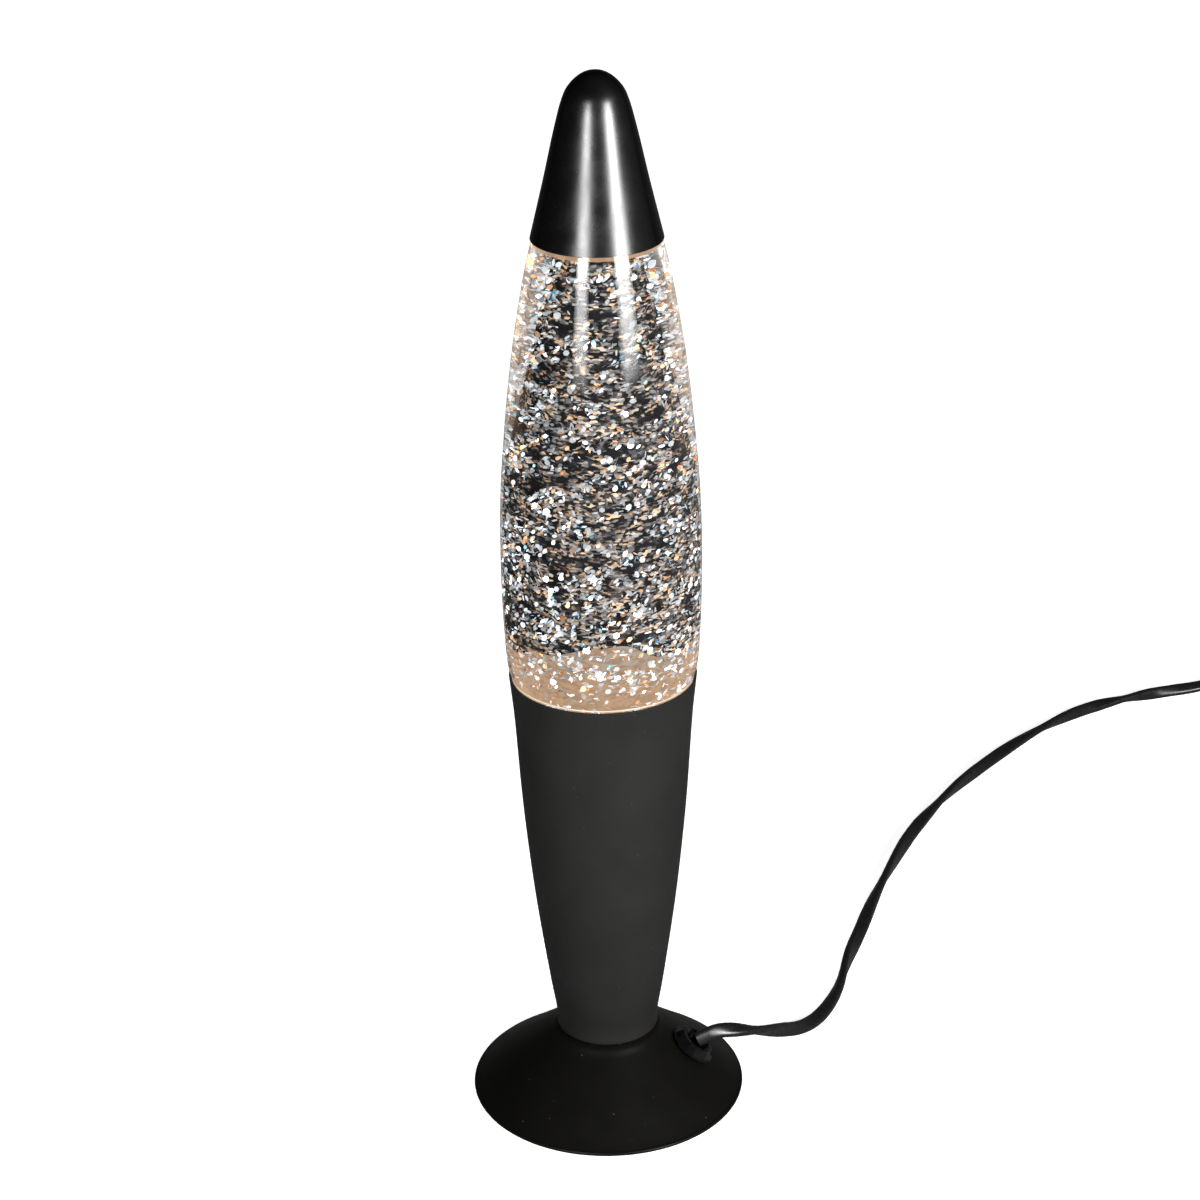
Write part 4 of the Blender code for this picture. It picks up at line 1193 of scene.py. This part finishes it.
def flake_corners(random, centre, size):
    """Corners of a randomly turned flake, in metres; size is its least and greatest half length."""
    if random.random() < LEVEL_SHARE:
        tilt = math.radians(abs(random.normal(0.0, LEVEL_SPREAD)))
    else:
        tilt = math.acos(random.uniform(-1.0, 1.0))
    swing = random.uniform(-math.pi, math.pi)
    lean = math.sin(tilt)
    normal = Vector((lean * math.cos(swing), lean * math.sin(swing), math.cos(tilt)))
    side = normal.orthogonal().normalized()
    other = normal.cross(side)
    start = random.uniform(0, math.pi)
    reach = random.uniform(*size)
    narrow = random.uniform(FLAKE_NARROWEST, 1.0)
    corners = []
    for k in range(FLAKE_CORNERS):
        angle = start + 2 * math.pi * k / FLAKE_CORNERS
        spot = centre + side * (reach * math.cos(angle)) + other * (reach * narrow * math.sin(angle))
        corners.append(spot * MM)
    return corners


def make_flakes(name, material, count, seed, size, lit_share):
    """Foil flakes adrift in the outer layer of the liquid, thicker in long level swirls."""
    random = np.random.default_rng(seed)
    points, faces = [], []
    while len(faces) < count:
        place = flake_place(random, lit_share)
        if place is None:
            continue
        faces.append(tuple(range(len(points), len(points) + FLAKE_CORNERS)))
        points += flake_corners(random, place, size)
    mesh = bpy.data.meshes.new(name)
    mesh.from_pydata(points, [], faces)
    mesh.materials.append(material)
    flakes = bpy.data.objects.new(name, mesh)
    bpy.context.scene.collection.objects.link(flakes)
    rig.ride(flakes, "bottle")
    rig.slot(flakes, "glitter_liquid")


make_bottle()
make_core()
make_flakes("flakes_silver", silver_foil, 7800, 3, (0.6, 1.45), 0.19)
# Flakes painted with the bulb's warm light, more of them in the lit liquid near the cup
make_flakes("flakes_painted_bulb_light", bulb_lit_foil, 2300, 5, (0.6, 1.35), 0.26)
make_flakes("flakes_spark", spark_foil, 500, 7, (0.5, 0.9), 0.1)

# ---------------------------------------------------------------- carried-over CAD pieces

NODE_LOOKS = {
    "bottom_plate": moulded_black,
    "gland_nut": moulded_black,
    "threaded_tube": zinc,
    "foot_washer": zinc,
    "foot_nut": zinc,
    "cup_washer": zinc,
    "cup_nut": zinc,
    "socket_base": bakelite,
    "socket_sleeve": bakelite,
    "socket_insert": ceramic,
    "socket_screw_shell": brass,
    "socket_centre_contact": brass,
    "terminal_screw_1": zinc,
    "terminal_screw_2": zinc,
    "cord_inner": cord_black,
    "wire_live": wire_brown,
    "wire_neutral": wire_blue,
    "cord_tie": tie_white,
    "switch_bottom": switch_black,
    "switch_top": switch_black,
    "switch_rocker": rocker_black,
    "switch_screw_1": zinc,
    "switch_screw_2": zinc,
    "switch_contact_in": brass,
    "switch_contact_out": brass,
    "switch_through_wire": wire_blue,
    "plug_body": plug_black,
    "plug_pin_1": pin_nickel,
    "plug_pin_2": pin_nickel,
    "crown_cap": tinplate,
    "crown_liner": liner_grey,
    "bulb_tip_contact": solder,
    "bulb_insulator": black_glass,
    "bulb_screw_cap": nickel,
    "bulb_glass": bulb_clear,
    "bulb_stem": bulb_clear,
    "bulb_lead_1": tungsten,
    "bulb_lead_2": tungsten,
    "filament": glow,
    "rubber_foot_1": rubber,
    "rubber_foot_2": rubber,
    "rubber_foot_3": rubber,
    "rubber_foot_4": rubber,
}


def dress_node(name, material):
    node = frame["nodes"][name]
    for slot in node.material_slots:
        slot.material = material
    weld = node.modifiers.new("join", "WELD")
    weld.merge_threshold = 1e-6


for node_name, look in NODE_LOOKS.items():
    dress_node(node_name, look)

# ---------------------------------------------------------------- studio


def strip_light(name, azimuth, distance, width, low, high, power):
    """Upright softbox at an azimuth from the camera's direction, in degrees, positive to the right.

    Its sides are soft, and its lower half is dim.
    """
    angle = math.radians(-90.0 + azimuth)
    lamp = bpy.data.lights.new(name, "AREA")
    lamp.shape = "RECTANGLE"
    lamp.size = width
    lamp.size_y = high - low
    lamp.energy = power
    lamp.use_nodes = True
    tree = lamp.node_tree
    share = add(tree, "ShaderNodeSeparateXYZ")
    tree.links.new(add(tree, "ShaderNodeNewGeometry").outputs["Parametric"], share.inputs[0])
    across = ramp(tree, share.outputs["X"], [(0.0, 0.0), (0.3, 1.0), (0.7, 1.0), (1.0, 0.0)])
    upward = ramp(tree, share.outputs["Y"], [(0.08, 0.0), (0.24, 0.3), (0.46, 0.42), (0.57, 1.0)])
    tree.links.new(product(tree, across, upward), tree.nodes["Emission"].inputs["Strength"])
    thing = bpy.data.objects.new(name, lamp)
    bpy.context.scene.collection.objects.link(thing)
    place = Vector((distance * math.cos(angle), distance * math.sin(angle), (low + high) / 2))
    facing = Vector((-place.x, -place.y, 0.0))
    thing.matrix_world = Matrix.Translation(place) @ facing.to_track_quat("-Z", "Y").to_matrix().to_4x4()


strip_light("strip_left", -24.0, 1.5, 0.58, 0.08, 1.0, 58.0)
strip_light("strip_right", 42.0, 1.5, 0.78, 0.08, 1.0, 108.0)

world = bpy.data.worlds.new("studio")
bpy.context.scene.world = world
world.use_nodes = True
world_tree = world.node_tree
background = world_tree.nodes["Background"]
background.inputs["Color"].default_value = (1.0, 0.99, 0.97, 1.0)
direction = add(world_tree, "ShaderNodeSeparateXYZ")
world_tree.links.new(add(world_tree, "ShaderNodeTexCoord").outputs["Generated"], direction.inputs[0])
# The room is dim, and brighter towards its right side
aside = add(world_tree, "ShaderNodeMapRange", from_min=-1.0, to_min=0.04, to_max=0.22)
world_tree.links.new(direction.outputs["X"], aside.inputs["Value"])
overhead = ramp(world_tree, direction.outputs["Z"], [(0.0, 1.0), (0.25, 0.6), (0.6, 0.28)])
dimmed = product(world_tree, aside.outputs["Result"], overhead)
world_tree.links.new(dimmed, background.inputs["Strength"])
white = add(world_tree, "ShaderNodeBackground")
white.inputs["Color"].default_value = (1.0, 1.0, 1.0, 1.0)
seen = add(world_tree, "ShaderNodeLightPath")
choice = add(world_tree, "ShaderNodeMixShader")
world_tree.links.new(seen.outputs["Is Camera Ray"], choice.inputs[0])
world_tree.links.new(background.outputs[0], choice.inputs[1])
world_tree.links.new(white.outputs[0], choice.inputs[2])
world_tree.links.new(choice.outputs[0], world_tree.nodes["World Output"].inputs["Surface"])

floor_look, floor_tree, floor_shader = new_material("floor_white")
floor_shader.inputs["Roughness"].default_value = 0.9
floor_shader.inputs["Specular IOR Level"].default_value = 0.0
floor_tree.links.new(drifting_number(floor_tree, 60.0, 2.0, 0.91, 0.01), floor_shader.inputs["Base Color"])
floor_shader.inputs["Emission Color"].default_value = (1.0, 1.0, 1.0, 1.0)
# The floor is brighter far away, so that floor and backdrop meet in white
far = add(floor_tree, "ShaderNodeMapRange", from_min=0.5, from_max=1.6, to_min=0.78, to_max=0.95)
outward = add(floor_tree, "ShaderNodeVectorMath", operation="LENGTH")
floor_tree.links.new(add(floor_tree, "ShaderNodeTexCoord").outputs["Object"], outward.inputs[0])
floor_tree.links.new(outward.outputs["Value"], far.inputs["Value"])
floor_tree.links.new(far.outputs["Result"], floor_shader.inputs["Emission Strength"])
floor_data = bmesh.new()
bmesh.ops.create_grid(floor_data, x_segments=1, y_segments=1, size=8.0)
floor = finish_mesh(floor_data, "floor", [floor_look])
floor.visible_glossy = False
floor.visible_transmission = False
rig.stage(floor)

bpy.context.scene.view_settings.view_transform = "Standard"

# ---------------------------------------------------------------- size

bpy.context.view_layer.update()
with open("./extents.json", "w") as out:
    json.dump(
        {
            "cad": [list(map(float, corner)) for corner in cad_box],
            "visual": [list(map(float, corner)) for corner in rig.bounds()],
        },
        out,
    )
